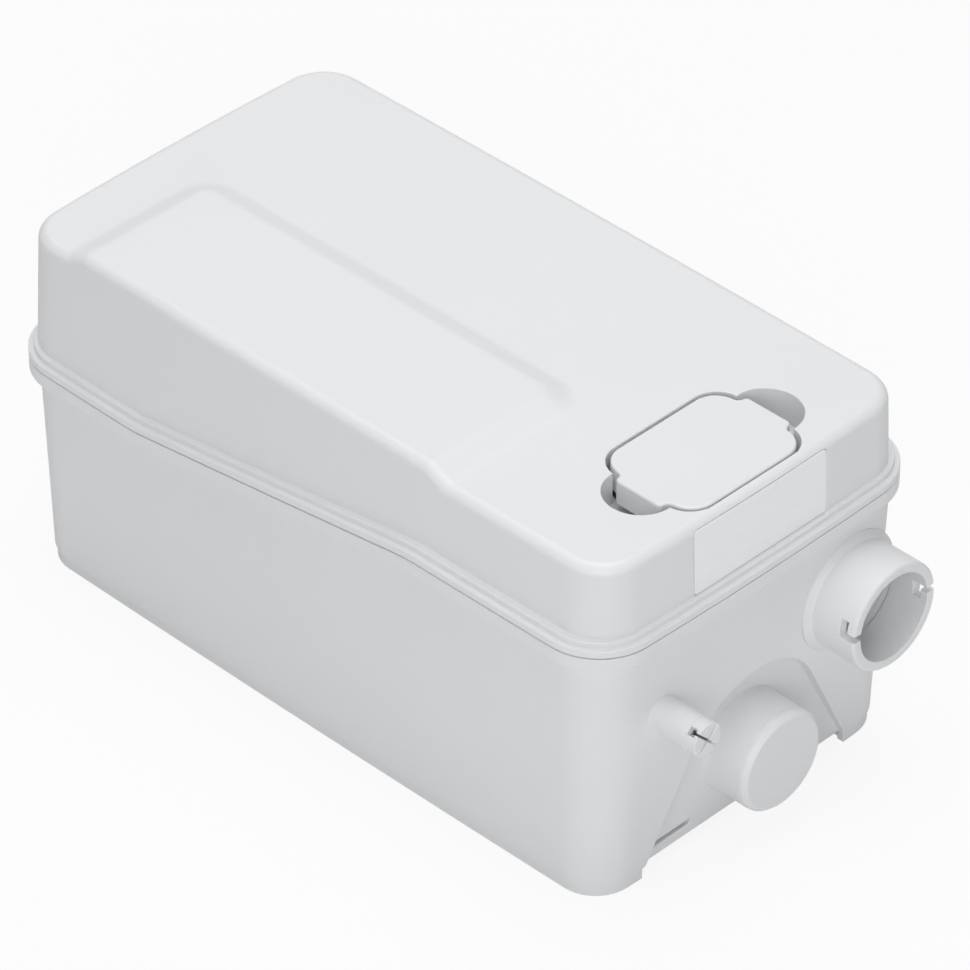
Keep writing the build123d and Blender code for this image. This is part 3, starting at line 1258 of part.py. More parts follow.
cap_roof = CAP_TOP - SWITCH_WALL
plate_top = PLATE_LOW + PLUNGER_WALL
with BuildPart() as switch_cap:
    tube_z(LEVEL_X, LEVEL_Y, CAP_LOW, CAP_TOP, SWITCH_RADIUS)
    cap_room = SWITCH_RADIUS - SWITCH_LEDGE
    tube_z(LEVEL_X, LEVEL_Y, CAP_LOW, cap_roof, cap_room, mode=Mode.SUBTRACT)
    tube_z(LEVEL_X, LEVEL_Y, cap_roof, CAP_TOP, PLUNGER_STEM + FIT, mode=Mode.SUBTRACT)
finish(switch_cap, "switch_cap")

with BuildPart() as switch_plunger:
    tube_z(LEVEL_X, LEVEL_Y, PLATE_LOW, plate_top, PLUNGER_PLATE)
    tube_z(LEVEL_X, LEVEL_Y, plate_top, CAP_TOP + PLUNGER_PROUD, PLUNGER_STEM)
finish(switch_plunger, "switch_plunger")

with BuildPart() as switch_spring:
    spring_low = plate_top + SPRING_WIRE + FIT
    spring_high = cap_roof - SPRING_WIRE - FIT
    with BuildLine() as coil:
        Helix(
            pitch=(spring_high - spring_low) / SPRING_TURNS,
            height=spring_high - spring_low,
            radius=SPRING_RADIUS,
            center=(LEVEL_X, LEVEL_Y, spring_low),
        )
    with BuildSketch(Plane(origin=coil.line @ 0, z_dir=coil.line % 0)):
        Circle(SPRING_WIRE)
    sweep(path=coil.line, is_frenet=True)
finish(switch_spring, "switch_spring")

with BuildPart() as level_contact:
    contact_top = CAP_TOP + CONTACT_HEIGHT
    half_x = CONTACT_WIDTH / 2
    half_y = CONTACT_LENGTH / 2
    sides = (LEVEL_Y - half_y, LEVEL_Y + half_y)
    block(LEVEL_X - half_x, LEVEL_X + half_x, *sides, CAP_TOP, contact_top)
    half_x = CONTACT_SPAN / 2
    lifted = CAP_TOP + CONTACT_LIFT
    block(LEVEL_X - half_x, LEVEL_X + half_x, *sides, CAP_TOP, lifted, Mode.SUBTRACT)
finish(level_contact, "level_contact")

# Controller: a box screwed up to the cover's hangers, with its lid below
box_y_end = BOX_Y + BOX_LENGTH / 2
with BuildPart() as controller_box:
    round_block(BOX_X, BOX_Y, BOX_WIDTH, BOX_LENGTH, BOX_CORNER, BOX_FLOOR, BOX_TOP)
    round_block(
        BOX_X,
        BOX_Y,
        BOX_WIDTH - 2 * BOX_WALL,
        BOX_LENGTH - 2 * BOX_WALL,
        BOX_CORNER - BOX_WALL,
        BOX_FLOOR,
        BOX_TOP - BOX_WALL,
        Mode.SUBTRACT,
    )
    for x, y in PILLAR_PLACES:
        tube_z(x, y, BOX_FLOOR, BOX_TOP - BOX_WALL / 2, PILLAR)
        tube_z(x, y, BOX_FLOOR, BOX_FLOOR + BOX_SCREW_GRIP, BOX_SCREW, mode=Mode.SUBTRACT)
    for x, y in PEG_PLACES:
        tube_z(x, y, BOARD_LOW + BOARD, BOX_TOP - BOX_WALL / 2, PEG)
    for x, y in HANGER_PLACES:
        tube_z(x, y, BOX_TOP - 2 * BOX_WALL, BOX_TOP, BOX_SCREW + FIT, mode=Mode.SUBTRACT)
    wire_hole = (box_y_end - 2 * BOX_WALL, box_y_end + BOX_WALL)
    tube_y(GLAND_X, GLAND_Z, *wire_hole, GLAND_BORE, mode=Mode.SUBTRACT)
finish(controller_box, "controller_box")

with BuildPart() as controller_lid:
    round_block(BOX_X, BOX_Y, BOX_WIDTH, BOX_LENGTH, BOX_CORNER, BOX_LOW, BOX_FLOOR)
    for x, y in PILLAR_PLACES:
        tube_z(x, y, BOX_LOW, BOX_FLOOR, BOX_SCREW + FIT, mode=Mode.SUBTRACT)
finish(controller_lid, "controller_lid")

with BuildPart() as controller_screws:
    for x, y in PILLAR_PLACES:
        tip = BOX_FLOOR + BOX_SCREW_GRIP
        screw_z(x, y, BOX_LOW, tip, BOX_SCREW, BOX_HEAD, BOX_HEAD_WALL)
    for x, y in HANGER_PLACES:
        tip = BOX_TOP + BOX_SCREW_GRIP
        screw_z(x, y, BOX_TOP - BOX_WALL, tip, BOX_SCREW, BOX_HEAD, BOX_HEAD_WALL)
finish(controller_screws, "controller_screws")

with BuildPart() as controller_board:
    half_x = BOX_WIDTH / 2 - BOX_WALL - BOARD_GAP
    half_y = BOX_LENGTH / 2 - BOX_WALL - BOARD_ROOM
    block(
        BOX_X - half_x,
        BOX_X + half_x,
        BOX_Y - half_y,
        BOX_Y + half_y,
        BOARD_LOW,
        BOARD_LOW + BOARD,
    )
finish(controller_board, "controller_board")

with BuildPart() as run_capacitor:
    start = CAPACITOR_Y - CAPACITOR_LENGTH / 2
    end = CAPACITOR_Y + CAPACITOR_LENGTH / 2
    tube_y(CAPACITOR_X, BOARD_LOW - CAPACITOR_RADIUS, start, end, CAPACITOR_RADIUS)
finish(run_capacitor, "run_capacitor")

with BuildPart() as relay:
    with Locations((RELAY_X, RELAY_Y, BOARD_LOW)):
        Box(RELAY_WIDTH, RELAY_LENGTH, RELAY_HEIGHT, align=HANGING)
finish(relay, "relay")

with BuildPart() as transformer:
    with Locations((CORE_X, CORE_Y, BOARD_LOW)):
        Box(CORE_WIDTH, CORE_LENGTH, CORE_HEIGHT, align=HANGING)
        Box(COIL_WIDTH, COIL_LENGTH, CORE_HEIGHT - COIL_STEP, align=HANGING)
finish(transformer, "transformer")

with BuildPart() as terminal_block:
    with Locations((BOX_X, TERMINAL_Y, BOARD_LOW)):
        Box(TERMINAL_PITCH * TERMINALS, TERMINAL_LENGTH, TERMINAL_HEIGHT, align=HANGING)
    with Locations((BOX_X, TERMINAL_Y, BOARD_LOW - TERMINAL_HEIGHT / 2)):
        with GridLocations(TERMINAL_PITCH, 0, TERMINALS, 1):
            Cylinder(
                TERMINAL_HOLE, 2 * TERMINAL_LENGTH, rotation=(90, 0, 0), mode=Mode.SUBTRACT
            )
finish(terminal_block, "terminal_block")

# Cable gland in the back of the cover, with its nut inside and its rubber sleeve
hex_end = GLAND_FACE + GLAND_HEX
gland_end = hex_end + GLAND_CAP_LENGTH
with BuildPart() as cable_gland:
    tube_y(GLAND_X, GLAND_Z, GLAND_INNER - GLAND_NUT - FIT, GLAND_FACE, GLAND_THREAD)
    hex_y(GLAND_X, GLAND_Z, GLAND_FLATS, GLAND_FACE, hex_end)
    tube_y(GLAND_X, GLAND_Z, hex_end, gland_end, GLAND_CAP)
    fillet(cable_gland.edges().group_by(Axis.Y)[-1], GLAND_HEX / 2)
    start = GLAND_INNER - GLAND_NUT - WALL
    tube_y(GLAND_X, GLAND_Z, start, gland_end + WALL, GLAND_BORE, mode=Mode.SUBTRACT)
finish(cable_gland, "cable_gland")

with BuildPart() as gland_nut:
    hex_y(GLAND_X, GLAND_Z, GLAND_FLATS, GLAND_INNER - GLAND_NUT, GLAND_INNER)
    start = GLAND_INNER - GLAND_NUT
    tube_y(GLAND_X, GLAND_Z, start, GLAND_INNER, GLAND_THREAD, mode=Mode.SUBTRACT)
finish(gland_nut, "gland_nut")

with BuildPart() as gland_seal:
    start = gland_end - GLAND_SEAL_LENGTH
    tube_y(GLAND_X, GLAND_Z, start, gland_end - FIT, GLAND_BORE, GLAND_SEAL_BORE)
finish(gland_seal, "gland_seal")
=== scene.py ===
"""Dresses the packed lifting station: moulded casing, pump, valve, switch and controller."""

import json
import math

import bmesh
import bpy
from bpy.props import FloatProperty, FloatVectorProperty, PointerProperty
from bpy.types import Operator, Panel, PropertyGroup
from mathutils import Matrix, Vector
from mathutils.bvhtree import BVHTree

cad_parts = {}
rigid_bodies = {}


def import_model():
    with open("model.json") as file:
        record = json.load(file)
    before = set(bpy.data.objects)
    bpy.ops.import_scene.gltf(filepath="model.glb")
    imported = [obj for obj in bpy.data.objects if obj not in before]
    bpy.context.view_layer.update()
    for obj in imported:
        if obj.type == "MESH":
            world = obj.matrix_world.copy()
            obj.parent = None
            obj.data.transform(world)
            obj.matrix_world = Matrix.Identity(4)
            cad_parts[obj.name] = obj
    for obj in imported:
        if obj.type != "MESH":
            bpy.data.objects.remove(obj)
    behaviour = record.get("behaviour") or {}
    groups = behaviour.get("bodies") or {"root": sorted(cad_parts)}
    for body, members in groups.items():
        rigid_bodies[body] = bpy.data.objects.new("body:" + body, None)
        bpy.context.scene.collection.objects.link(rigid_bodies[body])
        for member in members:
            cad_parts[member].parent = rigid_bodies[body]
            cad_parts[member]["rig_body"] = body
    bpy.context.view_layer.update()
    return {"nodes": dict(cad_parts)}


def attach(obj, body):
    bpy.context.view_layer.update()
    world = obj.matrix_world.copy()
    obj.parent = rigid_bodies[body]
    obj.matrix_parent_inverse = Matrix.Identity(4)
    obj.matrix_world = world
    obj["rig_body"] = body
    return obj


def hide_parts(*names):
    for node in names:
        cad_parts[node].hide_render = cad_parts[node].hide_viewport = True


bl_info = {
    "name": "Wastewater Lifting Station",
    "version": (1, 0, 0),
    "blender": (4, 5, 0),
    "location": "View3D > Sidebar > Lifting Station",
    "description": "Models and finishes the casing and the works of a small lifting station",
    "category": "Add Mesh",
}

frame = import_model()

MM = 0.001

# Faces that meet at more than the crisp angle are shaded as an edge; faces that lie within the
# flat angle of each other are joined.
CRISP_ANGLE = math.radians(32)
FLAT_ANGLE = math.radians(0.05)
MERGE_DISTANCE = 1e-6
EDGE_SEGMENTS = 2
FACE_AREA_WEIGHT = 100

# An edge looks into the open if a ray from just outside it meets nothing of its piece.
CLEAR_START = 0.02 * MM
CLEAR_REACH = 1.0

# Edge radii that go with the kind of piece.
UNEASED = 0.0
SEAL_EDGE = 0.1 * MM
SCREW_EDGE = 0.15 * MM
BLOCK_EDGE = 0.2 * MM
CASE_EDGE = 0.3 * MM
LABEL_EDGE = 0.35 * MM

# Colours of the bought-in pieces and of the stage.
CARBON = (0.02, 0.02, 0.021)
CERAMIC = (0.72, 0.69, 0.62)
BEARING_STEEL = (0.62, 0.63, 0.65)
ALLOY = (0.50, 0.51, 0.52)
MOTOR_SHEET = (0.20, 0.20, 0.21)
COPPER = (0.62, 0.24, 0.09)
LACQUER = (0.02, 0.16, 0.06)
CAPACITOR_CASE = (0.55, 0.56, 0.58)
RELAY_CASE = (0.03, 0.11, 0.36)
TRANSFORMER_SHEET = (0.25, 0.24, 0.23)
TERMINAL_PLASTIC = (0.30, 0.42, 0.30)
SKY_COLOUR = (0.97, 0.985, 1.0, 1.0)
WHITE = (1.0, 1.0, 1.0, 1.0)

# Nearly all values of a noise lie between these two.
NOISE_LOW = 0.3
NOISE_HIGH = 0.7


# Finishes. Each is a procedural material on Object coordinates, in metres.


class Finish:
    """A material's node tree with the few steps that every finish here needs."""

    def __init__(self, name, roughness, metallic=0.0):
        self.material = bpy.data.materials.new(name)
        self.material.use_nodes = True
        self.nodes = self.material.node_tree.nodes
        self.links = self.material.node_tree.links
        self.shader = self.nodes["Principled BSDF"]
        self.shader.inputs["Roughness"].default_value = roughness
        self.shader.inputs["Metallic"].default_value = metallic
        self.place = self.nodes.new("ShaderNodeTexCoord").outputs["Object"]
        self.relief = None

    def node(self, kind, inputs=None, **settings):
        made = self.nodes.new(kind)
        for key, value in settings.items():
            setattr(made, key, value)
        for key, value in (inputs or {}).items():
            if isinstance(value, bpy.types.NodeSocket):
                self.links.new(value, made.inputs[key])
            else:
                made.inputs[key].default_value = value
        return made

    def stretched(self, scale, turn=(0.0, 0.0, 0.0)):
        inputs = {"Vector": self.place, "Scale": scale, "Rotation": turn}
        return self.node("ShaderNodeMapping", inputs).outputs[0]

    def noise(self, scale, detail=2.0, roughness=0.5, vector=None):
        inputs = {
            "Vector": vector or self.place,
            "Scale": scale,
            "Detail": detail,
            "Roughness": roughness,
        }
        return self.node("ShaderNodeTexNoise", inputs).outputs["Fac"]

    def cells(self, scale, feature="F1"):
        inputs = {"Vector": self.place, "Scale": scale}
        return self.node("ShaderNodeTexVoronoi", inputs, feature=feature).outputs["Distance"]

    def bands(self, scale, direction="Z", distortion=0.0):
        inputs = {"Vector": self.place, "Scale": scale, "Distortion": distortion, "Detail": 1.0}
        made = self.node(
            "ShaderNodeTexWave", inputs, wave_type="BANDS", bands_direction=direction
        )
        return made.outputs["Fac"]

    def colours(self, factor, dark, light, start=NOISE_LOW, end=NOISE_HIGH):
        ramp = self.node("ShaderNodeValToRGB", {"Fac": factor})
        ramp.color_ramp.elements[0].position = start
        ramp.color_ramp.elements[1].position = end
        ramp.color_ramp.elements[0].color = (*dark, 1.0)
        ramp.color_ramp.elements[1].color = (*light, 1.0)
        self.links.new(ramp.outputs["Color"], self.shader.inputs["Base Color"])

    def rough(self, factor, low, high):
        inputs = {
            "Value": factor,
            "From Min": NOISE_LOW,
            "From Max": NOISE_HIGH,
            "To Min": low,
            "To Max": high,
        }
        made = self.node("ShaderNodeMapRange", inputs)
        self.links.new(made.outputs["Result"], self.shader.inputs["Roughness"])

    def bump(self, height, depth, strength=1.0):
        inputs = {"Height": height, "Distance": depth, "Strength": strength}
        if self.relief is not None:
            inputs["Normal"] = self.relief
        made = self.node("ShaderNodeBump", inputs)
        self.relief = made.outputs["Normal"]
        self.links.new(self.relief, self.shader.inputs["Normal"])


def shade(colour, factor):
    """A colour made darker or lighter by a factor."""
    return tuple(min(1.0, channel * factor) for channel in colour)


def moulded_plastic(name, colour, roughness, texture=0.03 * MM, wander=0.985):
    """Injection-moulded plastic: faint tone drift, fine eroded texture and a little sink."""
    made = Finish(name, roughness)
    made.colours(made.noise(14.0, 3.0), shade(colour, wander), shade(colour, 1.0))
    made.rough(made.noise(60.0, 2.0), roughness * 0.92, roughness * 1.08)
    made.bump(made.noise(22.0, 1.0), depth=0.35 * MM, strength=0.25)
    made.bump(made.noise(1500.0, 2.0), depth=texture, strength=0.5)
    return made.material


def rubber(name, colour):
    """Moulded rubber: matt and dusty, with a fine skin."""
    made = Finish(name, 0.72)
    made.colours(made.noise(90.0, 4.0, 0.7), shade(colour, 0.7), shade(colour, 1.6))
    made.rough(made.noise(200.0, 3.0), 0.62, 0.85)
    made.bump(made.noise(2200.0, 3.0, 0.7), depth=0.05 * MM, strength=0.6)
    return made.material


def turned_steel(name, colour, roughness, direction="Z"):
    """Turned or drawn steel: fine tool rings and a slight smear of tone."""
    made = Finish(name, roughness, 1.0)
    long_way = {"X": (1.0, 60.0, 60.0), "Y": (60.0, 1.0, 60.0), "Z": (60.0, 60.0, 1.0)}
    streaks = made.noise(30.0, 3.0, 0.6, made.stretched(long_way[direction]))
    made.colours(streaks, shade(colour, 0.82), shade(colour, 1.08))
    made.rough(streaks, roughness * 0.75, roughness * 1.3)
    made.bump(made.bands(900.0, direction, 0.6), depth=0.02 * MM, strength=0.35)
    return made.material


def polished_steel(name, colour):
    """Ground bearing steel."""
    made = Finish(name, 0.14, 1.0)
    made.colours(made.noise(240.0, 2.0), shade(colour, 0.9), shade(colour, 1.05))
    made.rough(made.noise(500.0, 3.0), 0.09, 0.2)
    made.bump(made.noise(1600.0, 2.0), depth=0.01 * MM, strength=0.25)
    return made.material


def cast_alloy(name, colour):
    """Die-cast alloy: a pebbled skin with dull and bright patches."""
    made = Finish(name, 0.42, 1.0)
    made.colours(made.noise(160.0, 4.0, 0.65), shade(colour, 0.72), shade(colour, 1.05))
    made.rough(made.noise(120.0, 3.0), 0.34, 0.55)
    made.bump(made.cells(700.0, "SMOOTH_F1"), depth=0.08 * MM, strength=0.6)
    made.bump(made.noise(900.0, 3.0), depth=0.04 * MM, strength=0.5)
    return made.material


def laminations(name, colour):
    """Stacked sheet steel, its sheets edge on."""
    made = Finish(name, 0.45, 0.9)
    sheets = made.bands(314.0, "Z")
    made.colours(sheets, shade(colour, 0.45), shade(colour, 1.25), 0.1, 0.5)
    made.rough(made.noise(300.0, 3.0), 0.35, 0.6)
    made.bump(sheets, depth=0.12 * MM, strength=0.8)
    return made.material


def wound_copper(name, colour):
    """Enamelled wire laid side by side, each turn painted lighter across its middle (a painted
    highlight) and darker in the crease between turns (painted shade).
    """
    made = Finish(name, 0.28, 0.85)
    turn_relief_and_painted_light = made.bands(260.0, "Z", 0.8)
    # Painted highlight across the middle of each turn and painted shade in the creases between
    # turns; the same bands also drive the bump.
    made.colours(turn_relief_and_painted_light, shade(colour, 0.4), shade(colour, 1.15), 0.05, 0.6)
    made.rough(made.noise(260.0, 3.0), 0.2, 0.4)
    made.bump(turn_relief_and_painted_light, depth=0.25 * MM, strength=0.9)
    return made.material


def ceramic(name, colour):
    """A lapped seal ring."""
    made = Finish(name, 0.18)
    made.colours(made.noise(420.0, 3.0), shade(colour, 0.93), shade(colour, 1.04))
    made.rough(made.noise(900.0, 2.0), 0.12, 0.26)
    made.bump(made.noise(2400.0, 2.0), depth=0.01 * MM, strength=0.3)
    return made.material


def granules(name, colour):
    """Packed carbon granules, each painted lighter at its middle (a painted highlight) and
    darker towards the gaps between granules (painted shade).
    """
    made = Finish(name, 0.8)
    granule_relief_and_painted_light = made.cells(620.0)
    # Painted highlight at the middle of each granule and painted shade in the gaps between
    # granules; the same pattern also drives the bump.
    made.colours(granule_relief_and_painted_light, shade(colour, 2.4), shade(colour, 0.4), 0.05, 0.6)
    made.rough(made.noise(700.0, 2.0), 0.6, 0.95)
    made.bump(granule_relief_and_painted_light, depth=0.7 * MM)
    return made.material


def circuit_board(name, colour):
    """Green lacquered laminate with tracks under the lacquer."""
    made = Finish(name, 0.32)
    tracks = made.cells(170.0, "DISTANCE_TO_EDGE")
    made.colours(tracks, shade(colour, 1.9), shade(colour, 0.85), 0.04, 0.09)
    made.rough(made.noise(500.0, 2.0), 0.25, 0.42)
    made.bump(tracks, depth=0.06 * MM, strength=0.5)
    return made.material


def label_film(name, colour, roughness):
    """A blank film plate with a faint brushed grain."""
    made = Finish(name, roughness)
    brushed = made.stretched(scale=(0.06, 1.0, 2.6), turn=(0.0, 0.5, 0.0))
    granule_relief_and_painted_light = made.noise(160.0, 4.0, 0.65, brushed)
    made.colours(granule_relief_and_painted_light, shade(colour, 0.975), shade(colour, 1.0))
    made.rough(granule_relief_and_painted_light, roughness * 0.9, roughness * 1.15)
    made.bump(granule_relief_and_painted_light, depth=0.02 * MM, strength=0.3)
    return made.material


# Meshes


def body_of(node):
    return frame["nodes"][node]["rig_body"]


def dressed(node, mesh, material):
    """Adds a finished mesh as the piece that stands in for a node and rides on its body."""
    piece = bpy.data.objects.new("dressed_" + node, mesh)
    bpy.context.scene.collection.objects.link(piece)
    mesh.materials.clear()
    mesh.materials.append(material)
    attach(piece, body_of(node))
    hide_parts(node)
    return piece


def faces_open_space(edge, tree):
    """Whether nothing of its own piece stands in front of an outward edge."""
    outward = sum((face.normal for face in edge.link_faces), Vector()).normalized()
    middle = (edge.verts[0].co + edge.verts[1].co) / 2
    return tree.ray_cast(middle + outward * CLEAR_START, outward, CLEAR_REACH)[0] is None


def eased(node, material, edge):
    """Dresses a node in its own form, with its outward edges eased to a small radius."""
    mesh = frame["nodes"][node].data.copy()
    mesh.name = "eased_" + node
    bm = bmesh.new()
    bm.from_mesh(mesh)
    bmesh.ops.remove_doubles(bm, verts=bm.verts, dist=MERGE_DISTANCE)
    bmesh.ops.dissolve_degenerate(bm, edges=bm.edges, dist=MERGE_DISTANCE)
    bmesh.ops.dissolve_limit(
        bm, angle_limit=FLAT_ANGLE, verts=bm.verts, edges=bm.edges, use_dissolve_boundaries=False
    )
    # A joined face with a notch would be filled across it once its corners have moved.
    bmesh.ops.connect_verts_concave(bm, faces=bm.faces)
    for face in bm.faces:
        face.smooth = True
    tree = BVHTree.FromBMesh(bm)
    weights = bm.edges.layers.float.new("bevel_weight_edge")
    for sharp in bm.edges:
        sharp.smooth = sharp.is_manifold and sharp.calc_face_angle(0.0) < CRISP_ANGLE
        if sharp.smooth or not sharp.is_convex or sharp.calc_length() < edge:
            continue
        if faces_open_space(sharp, tree):
            sharp[weights] = 1.0
    bm.to_mesh(mesh)
    bm.free()
    piece = dressed(node, mesh, material)
    if edge:
        rounding = piece.modifiers.new("eased edges", "BEVEL")
        rounding.width = edge
        rounding.segments = EDGE_SEGMENTS
        rounding.limit_method = "WEIGHT"
        rounding.use_clamp_overlap = False
        evened = piece.modifiers.new("even shading", "WEIGHTED_NORMAL")
        evened.weight = FACE_AREA_WEIGHT
        evened.keep_sharp = True


# Sizes and colours that a user would change


class CasingLook(PropertyGroup):
    """The white moulded shell."""

    colour: FloatVectorProperty(
        name="Casing colour",
        description="Colour of the tank, cover and hatch lid",
        subtype="COLOR",
        default=(0.80, 0.805, 0.815),
        min=0.0,
        max=1.0,
    )
    roughness: FloatProperty(
        name="Casing roughness",
        description="How dull the moulded plastic is",
        default=0.38,
        min=0.0,
        max=1.0,
        subtype="FACTOR",
    )
    edge: FloatProperty(
        name="Edge radius",
        description="Radius of the casing's small edges",
        default=0.3 * MM,
        min=0.0,
        unit="LENGTH",
    )


class LabelLook(PropertyGroup):
    """The blank label plate."""

    colour: FloatVectorProperty(
        name="Label colour",
        description="Colour of the blank label plate",
        subtype="COLOR",
        default=(0.95, 0.953, 0.957),
        min=0.0,
        max=1.0,
    )
    roughness: FloatProperty(
        name="Label roughness",
        description="How dull the label film is",
        default=0.33,
        min=0.0,
        max=1.0,
        subtype="FACTOR",
    )


class WorksLook(PropertyGroup):
    """The pump, valve, switch and controller inside."""

    plastic: FloatVectorProperty(
        name="Works plastic",
        description="Colour of the pump, pipe and valve mouldings",
        subtype="COLOR",
        default=(0.055, 0.06, 0.068),
        min=0.0,
        max=1.0,
    )
    box: FloatVectorProperty(
        name="Controller plastic",
        description="Colour of the controller's box and the cable gland",
        subtype="COLOR",
        default=(0.022, 0.023, 0.026),
        min=0.0,
        max=1.0,
    )
    rubber: FloatVectorProperty(
        name="Rubber",
        description="Colour of the seals and foot pads",
        subtype="COLOR",
        default=(0.016, 0.016, 0.017),
        min=0.0,
        max=1.0,
    )
    steel: FloatVectorProperty(
        name="Steel",
        description="Colour of the shaft, can and screws",
        subtype="COLOR",
        default=(0.56, 0.57, 0.58),
        min=0.0,
        max=1.0,
    )
    edge: FloatProperty(
        name="Works edge radius",
        description="Radius of small edges on the works",
        default=0.25 * MM,
        min=0.0,
        unit="LENGTH",
    )


class StageLook(PropertyGroup):
    """The floor, the lights and the camera."""

    floor_colour: FloatVectorProperty(
        name="Floor colour",
        description="Colour of the plain floor",
        subtype="COLOR",
        default=(0.86, 0.86, 0.86),
        min=0.0,
        max=1.0,
    )
    floor_glow: FloatProperty(
        name="Floor whiteness",
        description="How far the floor is lifted to white for the camera",
        default=0.88,
        min=0.0,
        max=1.0,
        subtype="FACTOR",
    )
    floor_size: FloatProperty(
        name="Floor size",
        description="Width of the floor",
        default=12.0,
        min=1.0,
        unit="LENGTH",
    )
    sky: FloatProperty(
        name="Ambient level",
        description="Strength of the even light from all round",
        default=0.30,
        min=0.0,
    )
    overhead: FloatProperty(
        name="Overhead light",
        description="Power of the large light above",
        default=21.5,
        min=0.0,
        unit="POWER",
    )
    rear: FloatProperty(
        name="Rear light",
        description="Power of the weak light behind the object",
        default=3.1,
        min=0.0,
        unit="POWER",
    )
    front: FloatProperty(
        name="Front light",
        description="Power of the soft light beside the camera",
        default=14.2,
        min=0.0,
        unit="POWER",
    )
    lens: FloatProperty(
        name="Lens",
        description="Focal length of the camera",
        default=254.5,
        min=1.0,
        unit="CAMERA",
    )


LOOKS = {
    "station_casing": CasingLook,
    "station_label": LabelLook,
    "station_works": WorksLook,
    "station_stage": StageLook,
}


# Operators


class STATION_OT_casing(Operator):
    """Finish the tank, the cover and the hatch lid."""

    bl_idname = "station.casing"
    bl_label = "Casing"

    def execute(self, context):
        look = context.scene.station_casing
        shell = moulded_plastic("casing_plastic", look.colour, look.roughness)
        for node in ("tank", "outlet_socket", "cover", "hatch_lid"):
            eased(node, shell, look.edge)
        return {"FINISHED"}


class STATION_OT_label(Operator):
    """Finish the blank label plate."""

    bl_idname = "station.label"
    bl_label = "Label plate"

    def execute(self, context):
        look = context.scene.station_label
        film = label_film("label_film", look.colour, look.roughness)
        eased("label_plate", film, LABEL_EDGE)
        return {"FINISHED"}


class STATION_OT_vent(Operator):
    """Finish the slotted vent end and the filter behind it."""

    bl_idname = "station.vent"
    bl_label = "Vent and filter"

    def execute(self, context):
        casing = context.scene.station_casing
        works = context.scene.station_works
        end = moulded_plastic("vent_plastic", casing.colour, casing.roughness)
        eased("vent_insert", end, casing.edge)
        housing = moulded_plastic("filter_plastic", works.plastic, 0.45)
        eased("filter_housing", housing, works.edge)
        eased("carbon_filter", granules("carbon_granules", CARBON), UNEASED)
        return {"FINISHED"}


class STATION_OT_seals(Operator):
    """Finish the rubber seals and foot pads."""

    bl_idname = "station.seals"
    bl_label = "Seals and pads"

    NODES = (
        "foot_pads", "cover_gasket", "hatch_seal", "housing_seal", "pipe_seals",
        "flap_facing", "switch_diaphragm", "gland_seal",
    )

    def execute(self, context):
        skin = rubber("black_rubber", context.scene.station_works.rubber)
        for node in self.NODES:
            eased(node, skin, SEAL_EDGE)
        return {"FINISHED"}


class STATION_OT_pump(Operator):
    """Finish the pump, its impeller, the discharge pipe and the shaft seal."""

    bl_idname = "station.pump"
    bl_label = "Pump and pipe"

    NODES = ("pump_base", "pump_housing", "impeller", "discharge_pipe")

    def execute(self, context):
        works = context.scene.station_works
        plastic = moulded_plastic("works_plastic", works.plastic, 0.42, 0.05 * MM, 0.8)
        for node in self.NODES:
            eased(node, plastic, works.edge)
        lapped = ceramic("seal_ceramic", CERAMIC)
        for node in ("shaft_seal_seat", "shaft_seal_ring"):
            eased(node, lapped, SEAL_EDGE)
        return {"FINISHED"}


class STATION_OT_motor(Operator):
    """Finish the motor: its shaft, bearings, core, windings, can and shields."""

    bl_idname = "station.motor"
    bl_label = "Motor"

    def execute(self, context):
        works = context.scene.station_works
        steel = turned_steel("turned_steel", works.steel, 0.3)
        for node in ("motor_shaft", "motor_can", "impeller_nut"):
            eased(node, steel, works.edge)
        ground = polished_steel("bearing_steel", BEARING_STEEL)
        for node in ("lower_bearing", "upper_bearing"):
            eased(node, ground, SEAL_EDGE)
        alloy = cast_alloy("cast_alloy", ALLOY)
        for node in ("motor_flange", "motor_cap", "rotor_rings"):
            eased(node, alloy, works.edge)
        stack = laminations("lamination_steel", MOTOR_SHEET)
        for node in ("stator_core", "rotor_core"):
            eased(node, stack, UNEASED)
        eased("stator_windings", wound_copper("winding_copper", COPPER), CASE_EDGE)
        return {"FINISHED"}


class STATION_OT_fasteners(Operator):
    """Finish the screws, the flap pin and the switch spring."""

    bl_idname = "station.fasteners"
    bl_label = "Fasteners"

    NODES = ("cap_screws", "pump_screws", "valve_screws", "controller_screws", "switch_spring")

    def execute(self, context):
        works = context.scene.station_works
        steel = turned_steel("screw_steel", works.steel, 0.26)
        for node in self.NODES:
            eased(node, steel, UNEASED if node == "switch_spring" else SCREW_EDGE)
        eased("flap_pin", turned_steel("pin_steel", works.steel, 0.2, "X"), SEAL_EDGE)
        return {"FINISHED"}


class STATION_OT_valve(Operator):
    """Finish the check valve."""

    bl_idname = "station.valve"
    bl_label = "Check valve"

    def execute(self, context):
        works = context.scene.station_works
        casing = context.scene.station_casing
        white = moulded_plastic("valve_white", casing.colour, casing.roughness)
        eased("valve_housing", white, works.edge)
        plastic = moulded_plastic("valve_plastic", works.plastic, 0.4, 0.05 * MM, 0.82)
        for node in ("valve_cover", "valve_flap"):
            eased(node, plastic, works.edge)
        return {"FINISHED"}


class STATION_OT_switch(Operator):
    """Finish the level tube and its switch."""

    bl_idname = "station.switch"
    bl_label = "Level switch"

    def execute(self, context):
        works = context.scene.station_works
        eased("level_tube", moulded_plastic("tube_plastic", works.plastic, 0.4), works.edge)
        plastic = moulded_plastic("switch_plastic", works.box, 0.36, 0.04 * MM, 0.8)
        for node in ("switch_base", "switch_cap", "switch_plunger", "level_contact"):
            eased(node, plastic, works.edge)
        return {"FINISHED"}


